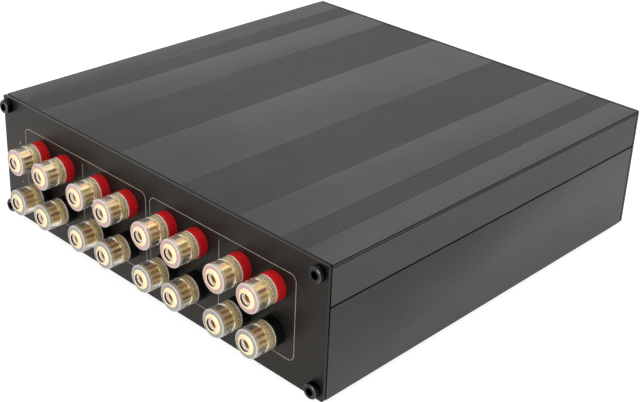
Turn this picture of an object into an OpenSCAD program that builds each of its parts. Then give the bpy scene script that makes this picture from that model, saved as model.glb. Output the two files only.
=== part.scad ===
// Speaker selector switch: a split, ribbed aluminium case with two rows of
// binding posts on its back and two rotary selectors on its front.
// The back panel faces -Y, the selectors face +Y, and the feet stand on z = 0.
// Heights on the case are counted from its underside, which is on the feet.

/* [Case] */
// Width of the case
case_w = 195; // [180:1:300]
// Depth of the case over both end panels
case_d = 199.3; // [150:0.1:300]
// Height of the case without its feet
case_h = 55.9; // [50:0.1:80]
// Height of the seam between the two shells
seam_h = 38.8; // [30:0.1:42]
// Open slot that shows along the seam
seam_gap = 0.8; // [0.2:0.1:1.2]
// Thickness of the shells' walls
wall_t = 2.5; // [2.2:0.1:3.5]
// Radius of the edges that run along the case
edge_r = 0.4; // [0.2:0.1:1]
// Height of the lip above the fine grooves under each upper edge
edge_lip = 0.25; // [0.2:0.05:0.6]
// Width of the fine grooves under each upper edge
edge_groove_w = 0.4; // [0.2:0.05:0.6]
// Depth of the fine grooves under each upper edge
edge_groove_d = 0.45; // [0.2:0.05:0.8]
// Height of the bead between the two fine grooves
edge_bead = 0.5; // [0.3:0.05:0.8]
// Depth and width of the rebate at the shells' ends
end_relief = 0.7; // [0.2:0.1:1.2]
// Thickness of the two end panels
panel_t = 1.2; // [1:0.1:1.6]
// Radius of the end panels' corners
panel_r = 0.8; // [0.3:0.1:1.5]

/* [Ribs] */
// Distance from one rib to the next
rib_pitch = 1.31; // [1:0.01:1.6]
// Width of the groove between two ribs
groove_w = 0.75; // [0.4:0.05:0.9]
// Depth of the groove between two ribs
groove_depth = 0.4; // [0.2:0.05:0.8]
// Grooves in each of the two wide bands
wide_grooves = 25; // [8:1:26]
// Grooves in each of the two narrow bands
narrow_grooves = 9; // [4:1:10]
// Distance from the case's side to the middle of a narrow band
narrow_band_inset = 19.5; // [16:0.5:22]

/* [Shell joints] */
// Width of the tongue that locks the shells together
tongue_w = 1; // [0.8:0.1:1.2]
// Height of the tongue above the seam
tongue_h = 1.6; // [1:0.1:2.5]
// Gap beside the tongue
tongue_gap = 0.15; // [0.1:0.05:0.3]
// Width of the rails that hold the main board
rail_w = 3; // [2:0.5:5]
// Thickness of the rails that hold the main board
rail_t = 1.2; // [0.8:0.1:2]

/* [Panel screws] */
// Distance from the case's edges to a panel screw
screw_inset = 4; // [3.5:0.1:5]
// Radius of a panel screw's thread
screw_r = 1.5; // [1.25:0.25:2]
// Length of a panel screw under its head
screw_l = 12; // [8:1:20]
// Radius of a back panel screw's head
screw_head_r = 3.1; // [2.75:0.05:3.5]
// Height of a back panel screw's head
screw_head_h = 3; // [2:0.1:4]
// Chamfer on a back panel screw's head
screw_chamfer = 0.35; // [0.1:0.05:0.5]
// Width across the flats of a back panel screw's hexagon socket
screw_hex = 2.9; // [2:0.1:3]
// Depth of a back panel screw's hexagon socket
screw_hex_d = 1.6; // [1:0.1:2]
// Width across the flats of a front panel screw's hexagon socket
flat_hex = 2; // [1.5:0.1:2.5]
// Depth of a front panel screw's hexagon socket
flat_hex_d = 1; // [0.6:0.1:1.4]
// Wall round a screw channel
channel_wall = 1.5; // [1:0.1:2.5]

/* [Binding posts] */
// Distance between the two posts of a pair
post_step = 17.6; // [15:0.05:19]
// Distance from one pair of posts to the next
pair_step = 41.5; // [32:0.05:42]
// Distance between the upper and the lower row
row_step = 18.9; // [15:0.1:22]
// Sideways shift of all the posts from the middle of the panel
post_shift = 1; // [-3:0.1:3]
// Drop of the rows' middle below the middle of the panel
row_drop = 0.2; // [0:0.1:2]
// Radius of the coloured base
base_r = 5.8; // [5:0.1:6.5]
// Thickness of the coloured base outside the panel
base_t = 4.15; // [3:0.05:6]
// Chamfer on the base's outer edge
base_chamfer = 0.4; // [0.2:0.1:0.8]
// Radius of the base's spigot through the panel
spigot_r = 4; // [3.5:0.1:4.5]
// Radius of the threaded stud
stud_r = 2.8; // [2.6:0.1:3]
// Chamfer at the stud's open end
stud_chamfer = 0.45; // [0.2:0.05:0.6]
// Radius of the plug socket in the stud
socket_r = 2; // [1.9:0.05:2.1]
// Depth of the plug socket
socket_l = 16; // [10:0.5:18]
// Relief of the socket's bore behind its guide
socket_relief = 0.25; // [0.2:0.05:0.4]
// Radius of the wire hole across the stud
wire_r = 1.5; // [1:0.1:1.6]

/* [Thumb nuts] */
// Radius of the clear sleeve
sleeve_r = 5.75; // [5.6:0.05:6]
// Length of the clear sleeve
sleeve_l = 9.5; // [8:0.1:14]
// Chamfer on the outer edges of the sleeve
sleeve_chamfer = 0.35; // [0.1:0.05:0.5]
// Gap between a closed sleeve and its base
clamp_gap = 0.1; // [0.05:0.05:0.3]
// Distance from the sleeve's rear edge to the nut
nut_set = 0.25; // [0.1:0.05:0.5]
// Radius of the nut's knurled flange
flange_r = 4.9; // [4.6:0.05:4.95]
// Thickness of the nut's knurled flange
flange_t = 1.8; // [1.2:0.1:2.5]
// Teeth round the knurled flange
flange_teeth = 36; // [24:1:40]
// Depth of the knurled flange's teeth
tooth_depth = 0.45; // [0.2:0.05:0.6]
// Radius of the plain ring beside the flange
ring_r = 4.6; // [4.3:0.05:4.7]
// Thickness of the plain ring beside the flange
ring_t = 0.9; // [0.5:0.1:1.5]
// Radius of the nut's front collar
collar_r = 3.93; // [3.8:0.01:4.1]
// Thickness of the nut's front collar
collar_t = 1.1; // [0.6:0.1:1.6]
// Sides of the nut's barrel
barrel_sides = 12; // [6:1:16]
// Length of the nut's tapered nose in front of the sleeve
nose_l = 0.8; // [0.4:0.1:1.4]
// Radius of the flat end of the nose
nose_r = 3.4; // [3.2:0.05:3.6]
// Radius of the mouth in the nose
mouth_r = 3.05; // [2.95:0.05:3.1]
// Depth of the mouth in the nose
mouth_l = 2; // [1.5:0.1:2.5]
// Distance from the sleeve's front to the stud's end
stud_recess = 0.75; // [0.3:0.05:1.2]

/* [Inside] */
// Thickness of the circuit boards
board_t = 1.6; // [1.2:0.1:2]
// Height of the main board above the corner blocks
board_lift = 0.5; // [0.3:0.1:2]
// Thickness of the insulating washers inside the panel
insulator_t = 1.6; // [1:0.1:2.5]
// Radius of the insulating washers inside the panel
insulator_r = 5.6; // [5:0.1:6]
// Width across the flats of the posts' hexagon nuts
hex_nut_w = 8; // [7.5:0.1:9]
// Thickness of the posts' hexagon nuts
hex_nut_t = 2.5; // [2:0.1:4]
// Length of stud left behind its hexagon nut
stud_tail = 1.5; // [0.5:0.1:3]
// Margin of the terminal board round the posts
terminal_margin = 7.5; // [6.5:0.1:9]
// Length of the copper links' feet on the main board
link_foot = 3.6; // [2:0.1:3.8]
// Gap between the copper links and the lower row's nuts
link_gap = 1.2; // [0.6:0.1:2]
// Thickness of the copper links
link_t = 0.8; // [0.5:0.1:1]
// Width of the copper links
link_w = 3; // [2:0.1:4]
// Distance between two neighbouring links
link_step = 4.4; // [4.2:0.1:5]
// Links from each selector to the main board
selector_links = 5; // [3:1:5]

/* [Selectors] */
// Distance from the middle of the panel to a selector
selector_x = 46; // [30:1:60]
// Width and height of a switch housing
housing_w = 26; // [24:0.5:30]
// Depth of a switch housing
housing_d = 11; // [9:0.5:16]
// Chamfer on the housing's corners
housing_chamfer = 2; // [1:0.1:3]
// Radius of the threaded bushing through the panel
bushing_r = 4.5; // [4:0.1:5]
// Length of the bushing outside the panel
bushing_l = 5; // [4:0.1:5.2]
// Radius of the selector shaft
shaft_r = 3; // [2.5:0.1:3.2]
// Depth of the flat along the shaft's outer end
shaft_flat = 0.8; // [0.4:0.1:1.2]
// Radius of the rotor inside the housing
rotor_r = 9.6; // [8:0.1:10]
// Thickness of the rotor
rotor_t = 3; // [2:0.1:4]
// Width across the flats of the bushing's nut
bushing_nut_w = 12; // [11:0.1:13]
// Thickness of the bushing's nut
bushing_nut_t = 2; // [1.5:0.1:2.5]
// Thickness of the washer under the bushing's nut
washer_t = 0.5; // [0.3:0.1:0.8]
// Distance that a knob stands out from the panel
knob_reach = 14; // [12:0.5:18]
// Radius of the knob's skirt
knob_r = 11; // [10.5:0.1:14]
// Height of the knob's skirt
knob_skirt_h = 2.6; // [1.5:0.1:4]
// Radius of the knob's fluted grip
grip_r = 10; // [9.5:0.1:10.3]
// Flutes round the knob's grip
grip_flutes = 40; // [24:1:48]
// Depth of the grip's flutes
flute_depth = 0.5; // [0.3:0.05:0.8]
// Height of the knob's plain top disc
knob_top_h = 1.2; // [0.8:0.1:2]
// Step from the roots of the flutes in to the top disc
knob_top_step = 0.2; // [0.1:0.05:0.5]
// Gap between the knob and the panel
knob_gap = 0.6; // [0.4:0.1:1]
// Radius of the recess in the knob's underside
knob_recess_r = 8; // [7.6:0.1:8.4]
// Depth of the recess in the knob's underside
knob_recess_d = 5.2; // [5:0.1:6]
// Width of the pointer line
pointer_w = 1.2; // [0.8:0.1:2]
// Depth of the pointer line
pointer_depth = 0.4; // [0.2:0.1:0.8]

/* [Feet] */
// Height of the rubber feet
foot_h = 3; // [2:0.5:5]
// Radius of a foot at the case
foot_r = 6; // [4:0.5:8]
// Taper of a foot from the case to the floor
foot_taper = 0.8; // [0.2:0.1:1.5]
// Distance from the case's sides to a foot's middle
foot_inset = 22; // [15:1:30]

/* [Hidden] */

$fn = 48;
// Overrun of every cut past the face that it opens
cut = 1;
// Radial gap of pieces that turn in one another
turn_gap = 0.05;
// Gap round pieces that stay apart while they move
free_gap = 0.3;
// Gap round pieces that only slip together when the case is built
slip_gap = 0.1;
// Posts side by side in one row, in pairs
columns = 8;
// Offset of a wide band's middle from the case's middle, as a share of the case's width
wide_band_share = 0.1785;

// Places along Y, with the whole object centred on the origin
sleeve_start = base_t + clamp_gap;
post_reach = sleeve_start + sleeve_l;
nose_end = post_reach + nose_l;
rear_y = -(nose_end + case_d + knob_reach) / 2 + nose_end;
front_y = rear_y + case_d;
shell_y0 = rear_y + panel_t;
shell_y1 = front_y - panel_t;

// Cross section of the shells
half_w = case_w / 2;
inner_half = half_w - wall_t;
channel_r = screw_r + turn_gap;
block = screw_inset + channel_r + channel_wall;
board_z = block + board_lift;
board_top = board_z + board_t;

// The posts' stack along their own axis, outwards from the back panel's face
stud_end = post_reach - stud_recess;
wire_s = base_t + free_gap + wire_r;
guide_s = wire_s + wire_r + free_gap;
insulator_s = -panel_t - insulator_t;
terminal_s = insulator_s - board_t;
hex_nut_s = terminal_s - hex_nut_t;
nut_start = sleeve_start + nut_set;
ring_start = nut_start + flange_t;
barrel_start = ring_start + ring_t;
collar_start = post_reach - collar_t;
sleeve_shoulder = barrel_start + free_gap;
row_mid = case_h / 2 - row_drop;
rows = [row_mid + row_step / 2, row_mid - row_step / 2];
link_rise = rows[1] - hex_nut_w / 2 - link_gap - board_top;

// The selectors' stack along their own axis, outwards from the front panel's face
selector_z = case_h / 2;
housing_s = -panel_t - housing_d;
cavity_r = rotor_r + free_gap;
cavity_d = rotor_t + free_gap * 2;
rotor_s = housing_s + free_gap;
shaft_end = knob_reach - knob_top_h - free_gap;
nut_seat = washer_t;
sides = [-1, 1];

// Place of a post's column across the panel, counted from 0
function column_x(c) = post_shift + (floor(c / 2) - (columns / 2 - 1) / 2) * pair_step
  + (c % 2 - 1 / 2) * post_step;

// A star polygon with pointed teeth
function toothed_outline(r, depth, teeth) = [for (i = [0 : 2 * teeth - 1])
  (i % 2 == 0 ? r : r - depth) * [cos(i * 180 / teeth), sin(i * 180 / teeth)]];

// Extrudes an outline drawn in X and Z from y0 to y1
module along_y(y0, y1) {
  translate([0, y1, 0]) rotate([90, 0, 0]) linear_extrude(y1 - y0) children();
}

// Lifts what is drawn from the case's underside onto the feet
module on_feet() {
  translate([0, 0, foot_h]) children();
}

// Turns a piece drawn upwards so that it points out of the back panel
module at_post(c, row) {
  translate([column_x(c), rear_y, foot_h + rows[row]]) rotate([90, 0, 0]) children();
}

// Turns a piece drawn upwards so that it points out of the front panel
module at_selector(side) {
  translate([side * selector_x, front_y, foot_h + selector_z]) rotate([-90, 0, 0]) children();
}

// The four screw places of a panel, as X and Z
module at_corners() {
  for (x = sides, z = [screw_inset, case_h - screw_inset])
    translate([x * (half_w - screw_inset), z]) children();
}

// Turns a screw drawn upwards so that it points out of the front panel, at each of its corners
module at_front_screws() {
  for (x = sides, z = [screw_inset, case_h - screw_inset])
    translate([x * (half_w - screw_inset), front_y, foot_h + z]) rotate([-90, 0, 0]) children();
}

// A ring drawn upwards from s0 to s1
module ring(r_out, r_in, s0, s1) {
  translate([0, 0, s0]) difference() {
    cylinder(r = r_out, h = s1 - s0);
    translate([0, 0, -cut]) cylinder(r = r_in, h = s1 - s0 + 2 * cut);
  }
}

// A hexagon ring drawn upwards from s0, with its width across the flats
module hex_ring(width, r_in, s0, t) {
  translate([0, 0, s0]) difference() {
    cylinder(r = width / 2 / cos(30), h = t, $fn = 6);
    translate([0, 0, -cut]) cylinder(r = r_in, h = t + 2 * cut);
  }
}

// Case

// The outline of the closed case, with its long edges rounded
module case_outline(inset, r) {
  translate([0, case_h / 2]) {
    square([case_w - 2 * (inset + r), case_h - 2 * inset], center = true);
    square([case_w - 2 * inset, case_h - 2 * (inset + r)], center = true);
    for (x = sides, z = sides)
      translate([x * (half_w - inset - r), z * (case_h / 2 - inset - r)]) circle(r = r);
  }
}

// The rebate that leaves a dark line between a shell and each panel
module end_rebates() {
  for (y = [shell_y0, shell_y1 - end_relief])
    along_y(y, y + end_relief) difference() {
      translate([0, case_h / 2]) square([case_w + 2 * cut, case_h + 2 * cut], center = true);
      case_outline(end_relief, edge_r);
    }
}

// Grooves of one band, drawn as triangles that hang from the top face and run past it
module groove_band(middle, count) {
  for (i = [0 : count - 1])
    translate([middle + (i - (count - 1) / 2) * rib_pitch, case_h])
      polygon([[-groove_w / 2, cut], [-groove_w / 2, 0], [0, -groove_depth], [groove_w / 2, 0],
        [groove_w / 2, cut]]);
}

module top_profile() {
  difference() {
    case_outline(0, edge_r);
    // The room inside, beside the corner blocks and above them
    translate([-inner_half, -cut]) square([2 * inner_half, case_h - block + cut]);
    translate([-half_w + block, 0]) square([case_w - 2 * block, case_h - wall_t]);
    // The seam and the groove that takes the tongue
    translate([-half_w - cut, -cut]) square([case_w + 2 * cut, seam_h + seam_gap / 2 + cut]);
    translate([-inner_half - tongue_w - tongue_gap, 0])
      square([2 * (inner_half + tongue_w + tongue_gap), seam_h + tongue_h]);
    for (x = sides) {
      groove_band(x * case_w * wide_band_share, wide_grooves);
      groove_band(x * (half_w - narrow_band_inset), narrow_grooves);
      // Two fine grooves with a bead between them, under each upper edge
      for (k = [0, 1])
        translate([x * half_w, case_h - edge_lip - edge_groove_w / 2 - k * (edge_groove_w + edge_bead)])
          square([2 * edge_groove_d, edge_groove_w], center = true);
    }
    at_corners() circle(r = channel_r);
  }
}

module top_shell() {
  color("#3b3b3d") on_feet() difference() {
    along_y(shell_y0, shell_y1) top_profile();
    end_rebates();
  }
}

module bottom_profile() {
  difference() {
    union() {
      difference() {
        case_outline(0, edge_r);
        translate([-inner_half, block]) square([2 * inner_half, case_h]);
        translate([-half_w + block, wall_t]) square([case_w - 2 * block, case_h]);
        translate([-half_w - cut, seam_h - seam_gap / 2]) square([case_w + 2 * cut, case_h]);
      }
      for (x = sides) {
        // The tongue that runs up inside the upper shell
        translate([x * (inner_half + tongue_w / 2), seam_h + tongue_h / 2 - seam_gap])
          square([tongue_w, tongue_h + 2 * seam_gap], center = true);
        // The two rails of the main board's slot
        for (z = [board_z - slip_gap - rail_t / 2, board_top + slip_gap + rail_t / 2])
          translate([x * (inner_half - rail_w / 2 + wall_t / 4), z])
            square([rail_w + wall_t / 2, rail_t], center = true);
      }
    }
    // The tongue stops where the upper shell's step begins
    translate([-half_w, seam_h + tongue_h]) square([case_w, case_h]);
    at_corners() circle(r = channel_r);
  }
}

module bottom_shell() {
  color("#37373a") on_feet() difference() {
    along_y(shell_y0, shell_y1) bottom_profile();
    end_rebates();
  }
}

module rear_panel() {
  color("#2b2a29") on_feet() along_y(rear_y, rear_y + panel_t) difference() {
    case_outline(0, panel_r);
    at_corners() circle(r = screw_r + slip_gap);
    for (c = [0 : columns - 1], z = rows)
      translate([column_x(c), z]) circle(r = spigot_r + slip_gap);
  }
}

module front_panel() {
  // A countersink runs past both faces of the panel, and narrows by its own depth
  sink_l = panel_t + 2 * cut;
  sink_r = screw_r + slip_gap - cut;
  color("#2b2a29") difference() {
    on_feet() along_y(front_y - panel_t, front_y) difference() {
      case_outline(0, panel_r);
      for (x = sides)
        translate([x * selector_x, selector_z]) circle(r = bushing_r + slip_gap);
    }
    at_front_screws() translate([0, 0, -panel_t - cut])
      cylinder(r1 = sink_r, r2 = sink_r + sink_l, h = sink_l);
  }
}

// A socket head screw with its head's seat at zero, drawn upwards
module cap_screw() {
  difference() {
    union() {
      cylinder(r = screw_head_r, h = screw_head_h - screw_chamfer);
      translate([0, 0, screw_head_h - screw_chamfer])
        cylinder(r1 = screw_head_r, r2 = screw_head_r - screw_chamfer, h = screw_chamfer);
      translate([0, 0, -screw_l]) cylinder(r = screw_r, h = screw_l);
    }
    translate([0, 0, screw_head_h - screw_hex_d])
      cylinder(r = screw_hex / 2 / cos(30), h = screw_hex_d + cut, $fn = 6);
  }
}

module rear_screws() {
  color("#1c1c1d") for (x = sides, z = [screw_inset, case_h - screw_inset])
    translate([x * (half_w - screw_inset), rear_y, foot_h + z]) rotate([90, 0, 0]) cap_screw();
}

// A countersunk screw with its flat face at zero and a head as deep as the panel, drawn upwards
module flat_screw() {
  difference() {
    union() {
      translate([0, 0, -panel_t]) cylinder(r1 = screw_r, r2 = screw_r + panel_t, h = panel_t);
      translate([0, 0, -screw_l]) cylinder(r = screw_r, h = screw_l);
    }
    translate([0, 0, -flat_hex_d])
      cylinder(r = flat_hex / 2 / cos(30), h = flat_hex_d + cut, $fn = 6);
  }
}

module front_screws() {
  color("#1c1c1d") at_front_screws() flat_screw();
}

module rubber_feet() {
  color("#151515") for (x = sides, y = [rear_y + foot_inset, front_y - foot_inset])
    translate([x * (half_w - foot_inset), y, 0])
      cylinder(r1 = foot_r - foot_taper, r2 = foot_r, h = foot_h);
}

// Binding posts

// A collar outside the panel, and a spigot that fills the panel's hole
module post_base() {
  rotate_extrude() polygon([
    [stud_r + slip_gap, -panel_t], [spigot_r, -panel_t], [spigot_r, 0], [base_r, 0],
    [base_r, base_t - base_chamfer], [base_r - base_chamfer, base_t], [stud_r + slip_gap, base_t]]);
}

module red_bases() {
  color("#b3141b") for (c = [0 : columns - 1]) at_post(c, 0) post_base();
}

module black_bases() {
  color("#161616") for (c = [0 : columns - 1]) at_post(c, 1) post_base();
}

// A threaded stud with the wire hole across it, and a plug socket that is relieved behind its guide
module post_stud() {
  tail = hex_nut_s - stud_tail;
  relief_r = socket_r + socket_relief;
  difference() {
    rotate_extrude() polygon([
      [0, tail], [stud_r, tail], [stud_r, stud_end - stud_chamfer],
      [stud_r - stud_chamfer, stud_end], [socket_r, stud_end],
      [socket_r, guide_s], [relief_r, guide_s],
      [relief_r, stud_end - socket_l], [0, stud_end - socket_l]]);
    translate([0, 0, wire_s]) rotate([90, 0, 0])
      cylinder(r = wire_r, h = 3 * stud_r, center = true);
  }
}

module post_studs() {
  color("#d8b45c") for (c = [0 : columns - 1], row = [0, 1]) at_post(c, row) post_stud();
}

module inner_insulators() {
  color("#1a1a1a") for (c = [0 : columns - 1], row = [0, 1])
    at_post(c, row) ring(insulator_r, stud_r + slip_gap, insulator_s, -panel_t);
}

module post_nuts() {
  color("#c9a24a") for (c = [0 : columns - 1], row = [0, 1])
    at_post(c, row) hex_ring(hex_nut_w, stud_r + turn_gap, hex_nut_s, hex_nut_t);
}

// The clear sleeve round a thumb nut, stepped inside to clear the nut's flange
module sleeve(c, row) {
  color("#e8ddc8") at_post(c, row) rotate_extrude() polygon([
    [flange_r + free_gap, sleeve_start],
    [sleeve_r - sleeve_chamfer, sleeve_start], [sleeve_r, sleeve_start + sleeve_chamfer],
    [sleeve_r, post_reach - sleeve_chamfer], [sleeve_r - sleeve_chamfer, post_reach],
    [collar_r + turn_gap, post_reach], [collar_r + turn_gap, sleeve_shoulder],
    [flange_r + free_gap, sleeve_shoulder]]);
}

// A thumb nut: knurled flange, plain ring, many-sided barrel, front collar, and a tapered nose
// whose lip stands over the stud's end
module thumb_nut(c, row) {
  color("#d9b35a") at_post(c, row) difference() {
    union() {
      translate([0, 0, nut_start])
        linear_extrude(flange_t) polygon(toothed_outline(flange_r, tooth_depth, flange_teeth));
      translate([0, 0, ring_start]) cylinder(r = ring_r, h = ring_t);
      translate([0, 0, barrel_start])
        cylinder(r = collar_r, h = collar_start - barrel_start, $fn = barrel_sides);
      translate([0, 0, collar_start]) cylinder(r = collar_r, h = collar_t);
      translate([0, 0, post_reach]) cylinder(r1 = collar_r, r2 = nose_r, h = nose_l);
    }
    translate([0, 0, nut_start - cut]) cylinder(r = stud_r + turn_gap, h = nose_end - nut_start + 2 * cut);
    translate([0, 0, nose_end - mouth_l]) cylinder(r = mouth_r, h = mouth_l + cut);
  }
}

// Boards

module terminal_board() {
  low = board_z;
  high = rows[0] + terminal_margin;
  left = column_x(0) - terminal_margin;
  right = column_x(columns - 1) + terminal_margin;
  color("#1f5c33") on_feet() along_y(rear_y - insulator_s, rear_y - terminal_s) difference() {
    translate([left, low]) square([right - left, high - low]);
    for (c = [0 : columns - 1], z = rows)
      translate([column_x(c), z]) circle(r = stud_r + slip_gap);
  }
}

module main_board() {
  y0 = rear_y - terminal_s + free_gap;
  y1 = shell_y1 - free_gap;
  color("#1f5c33") on_feet() translate([-inner_half + free_gap, y0, board_z])
    cube([2 * (inner_half - free_gap), y1 - y0, board_t]);
}

// A bent copper strip that lies on the main board and stands against an upright board,
// with its foot pointing towards the back (-1) or the front (1)
module board_link(x, y, towards) {
  bend = [[0, 0], [link_foot, 0], [link_foot, link_t], [link_t, link_t], [link_t, link_rise], [0, link_rise]];
  translate([x, y, board_top]) rotate([90, 0, 90])
    linear_extrude(link_w, center = true) polygon([for (p = bend) [towards * p[0], p[1]]]);
}

module board_links() {
  color("#b87745") on_feet() {
    for (c = [0 : columns - 1], x = sides)
      board_link(column_x(c) + x * link_step / 2, rear_y - terminal_s, 1);
    for (x = sides, i = [0 : selector_links - 1])
      board_link(x * selector_x + (i - (selector_links - 1) / 2) * link_step,
        front_y + housing_s - board_t, -1);
  }
}

// Selectors

// The outline of a switch housing, a square with its corners cut off
module housing_outline() {
  h = housing_w / 2;
  k = h - housing_chamfer;
  polygon([[h, -k], [h, k], [k, h], [-k, h], [-h, k], [-h, -k], [-k, -h], [k, -h]]);
}

// A housing that is open behind, with a threaded bushing that passes the panel
module housing(side) {
  color("#26262a") at_selector(side) difference() {
    union() {
      translate([0, 0, housing_s]) linear_extrude(housing_d) housing_outline();
      translate([0, 0, -panel_t]) cylinder(r = bushing_r, h = panel_t + bushing_l);
    }
    translate([0, 0, housing_s - cut])
      cylinder(r = shaft_r + turn_gap, h = housing_d + panel_t + bushing_l + 2 * cut);
    translate([0, 0, housing_s - cut]) cylinder(r = cavity_r, h = cavity_d + cut);
  }
}

// The contact board that closes a housing and stands on the main board
module wafer(side) {
  top = selector_z + housing_w / 2;
  color("#8a5a2b") on_feet()
    translate([side * selector_x - housing_w / 2, front_y + housing_s - board_t, board_top])
      cube([housing_w, board_t, top - board_top]);
}

module rotor(side) {
  color("#d0c9b8") at_selector(side) ring(rotor_r, shaft_r + slip_gap, rotor_s, rotor_s + rotor_t);
}

module shaft(side) {
  color("#b9bcc0") at_selector(side) difference() {
    translate([0, 0, rotor_s]) cylinder(r = shaft_r, h = shaft_end - rotor_s);
    translate([-shaft_r, -shaft_r - cut, bushing_l + free_gap])
      cube([2 * shaft_r, shaft_flat + cut, knob_reach]);
  }
}

module bushing_washers() {
  color("#9a9da1") for (side = sides)
    at_selector(side) ring(bushing_nut_w / 2, bushing_r + slip_gap, 0, washer_t);
}

module bushing_nuts() {
  color("#9a9da1") for (side = sides)
    at_selector(side) hex_ring(bushing_nut_w, bushing_r + turn_gap, nut_seat, bushing_nut_t);
}

// A turned knob with a skirt, a fluted grip, a plain top and a pointer line
module knob(side) {
  grip_start = knob_gap + knob_skirt_h;
  grip_end = knob_reach - knob_top_h;
  color("#2a2a2c") at_selector(side) difference() {
    union() {
      translate([0, 0, knob_gap]) cylinder(r = knob_r, h = knob_skirt_h);
      translate([0, 0, grip_start])
        linear_extrude(grip_end - grip_start) polygon(toothed_outline(grip_r, flute_depth, grip_flutes));
      translate([0, 0, grip_end]) cylinder(r = grip_r - flute_depth - knob_top_step, h = knob_top_h);
    }
    translate([0, 0, knob_gap - cut]) cylinder(r = knob_recess_r, h = knob_recess_d + cut);
    cylinder(r = shaft_r + slip_gap, h = shaft_end + slip_gap);
    translate([-pointer_w / 2, -grip_r - cut, knob_reach - pointer_depth])
      cube([pointer_w, grip_r + cut - shaft_r, pointer_depth + cut]);
  }
}

top_shell();
bottom_shell();
rear_panel();
front_panel();
rear_screws();
front_screws();
rubber_feet();
red_bases();
black_bases();
post_studs();
inner_insulators();
post_nuts();
terminal_board();
main_board();
board_links();
housing(1);  // housing_left
housing(-1);  // housing_right
wafer(1);  // wafer_left
wafer(-1);  // wafer_right
rotor(1);  // rotor_left
rotor(-1);  // rotor_right
shaft(1);  // shaft_left
shaft(-1);  // shaft_right
knob(1);  // knob_left
knob(-1);  // knob_right
bushing_nuts();
bushing_washers();
sleeve(0, 0);  // sleeve_red_1
sleeve(1, 0);  // sleeve_red_2
sleeve(2, 0);  // sleeve_red_3
sleeve(3, 0);  // sleeve_red_4
sleeve(4, 0);  // sleeve_red_5
sleeve(5, 0);  // sleeve_red_6
sleeve(6, 0);  // sleeve_red_7
sleeve(7, 0);  // sleeve_red_8
sleeve(0, 1);  // sleeve_black_1
sleeve(1, 1);  // sleeve_black_2
sleeve(2, 1);  // sleeve_black_3
sleeve(3, 1);  // sleeve_black_4
sleeve(4, 1);  // sleeve_black_5
sleeve(5, 1);  // sleeve_black_6
sleeve(6, 1);  // sleeve_black_7
sleeve(7, 1);  // sleeve_black_8
thumb_nut(0, 0);  // nut_red_1
thumb_nut(1, 0);  // nut_red_2
thumb_nut(2, 0);  // nut_red_3
thumb_nut(3, 0);  // nut_red_4
thumb_nut(4, 0);  // nut_red_5
thumb_nut(5, 0);  // nut_red_6
thumb_nut(6, 0);  // nut_red_7
thumb_nut(7, 0);  // nut_red_8
thumb_nut(0, 1);  // nut_black_1
thumb_nut(1, 1);  // nut_black_2
thumb_nut(2, 1);  // nut_black_3
thumb_nut(3, 1);  // nut_black_4
thumb_nut(4, 1);  // nut_black_5
thumb_nut(5, 1);  // nut_black_6
thumb_nut(6, 1);  // nut_black_7
thumb_nut(7, 1);  // nut_black_8
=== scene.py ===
"""Dresses the speaker selector switch: a ribbed metal case with two rows of binding posts behind.

Every length below is in millimetres unless its name or its docstring says otherwise, and MM turns
it into metres when points are made. The back panel faces -Y, the selectors face +Y.
"""
from __future__ import annotations

import logging
import math
from abc import ABC, abstractmethod
from dataclasses import dataclass, field
from enum import Enum
from typing import Callable, Sequence

import bmesh
import bpy
import numpy as np
from mathutils import Matrix, Vector


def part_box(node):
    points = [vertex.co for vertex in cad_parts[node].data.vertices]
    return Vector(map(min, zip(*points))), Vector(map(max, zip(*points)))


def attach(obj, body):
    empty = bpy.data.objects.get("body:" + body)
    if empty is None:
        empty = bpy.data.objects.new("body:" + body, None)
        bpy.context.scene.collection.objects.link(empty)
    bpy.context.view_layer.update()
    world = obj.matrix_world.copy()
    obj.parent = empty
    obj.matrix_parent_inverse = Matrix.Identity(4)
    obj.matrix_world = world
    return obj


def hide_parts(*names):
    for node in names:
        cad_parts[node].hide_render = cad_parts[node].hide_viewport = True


MM = 0.001
TURN = 2 * math.pi
MARK = "finish_mark"
# Marks of a thumb nut: its collar 0, its nose NOSE, its flats up to FLATS, then its other places
NOSE = 0.015
FLATS, RING, KNURL_CREST, KNURL_ROOT, LIT_LIP, MOUTH_SHADE = 0.24, 0.27, 0.3, 0.8, 0.9, 1.0
# Ranges of the marks of a flat's two halves: a painted highlight half and a painted shade half, standing in
# for reflections
PAINTED_HIGHLIGHT_HALF, PAINTED_SHADE_HALF = (0.02, 0.1), (0.14, FLATS)
# Mark of a sleeve's polished bore, between the marks of its outer side round the flange and the barrel
BORE = 0.34
# The longest fillet of a corner, as a share of its shorter side
LONGEST_FILLET = 0.45
# A noise's roughness, and the part of its range that it mostly keeps to
NOISE_ROUGHNESS, NOISE_LOW, NOISE_HIGH = 0.55, 0.3, 0.7
# How densely noise runs along each axis in an extrusion's drawing lines and in turned rings
DRAWING_LINES, LATHE_RINGS = (900.0, 6.0, 900.0), (60.0, 5200.0, 60.0)
log = logging.getLogger("selector_switch")

Triple = tuple[float, float, float]
Colour = Triple
Stop = tuple[float, Colour | float]
Faces = np.ndarray | Sequence[Sequence[int]]
Surface = tuple[np.ndarray, Faces]
MarkedSurface = tuple[np.ndarray, Faces, np.ndarray]
Socket = bpy.types.NodeSocket


# Mesh making


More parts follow.
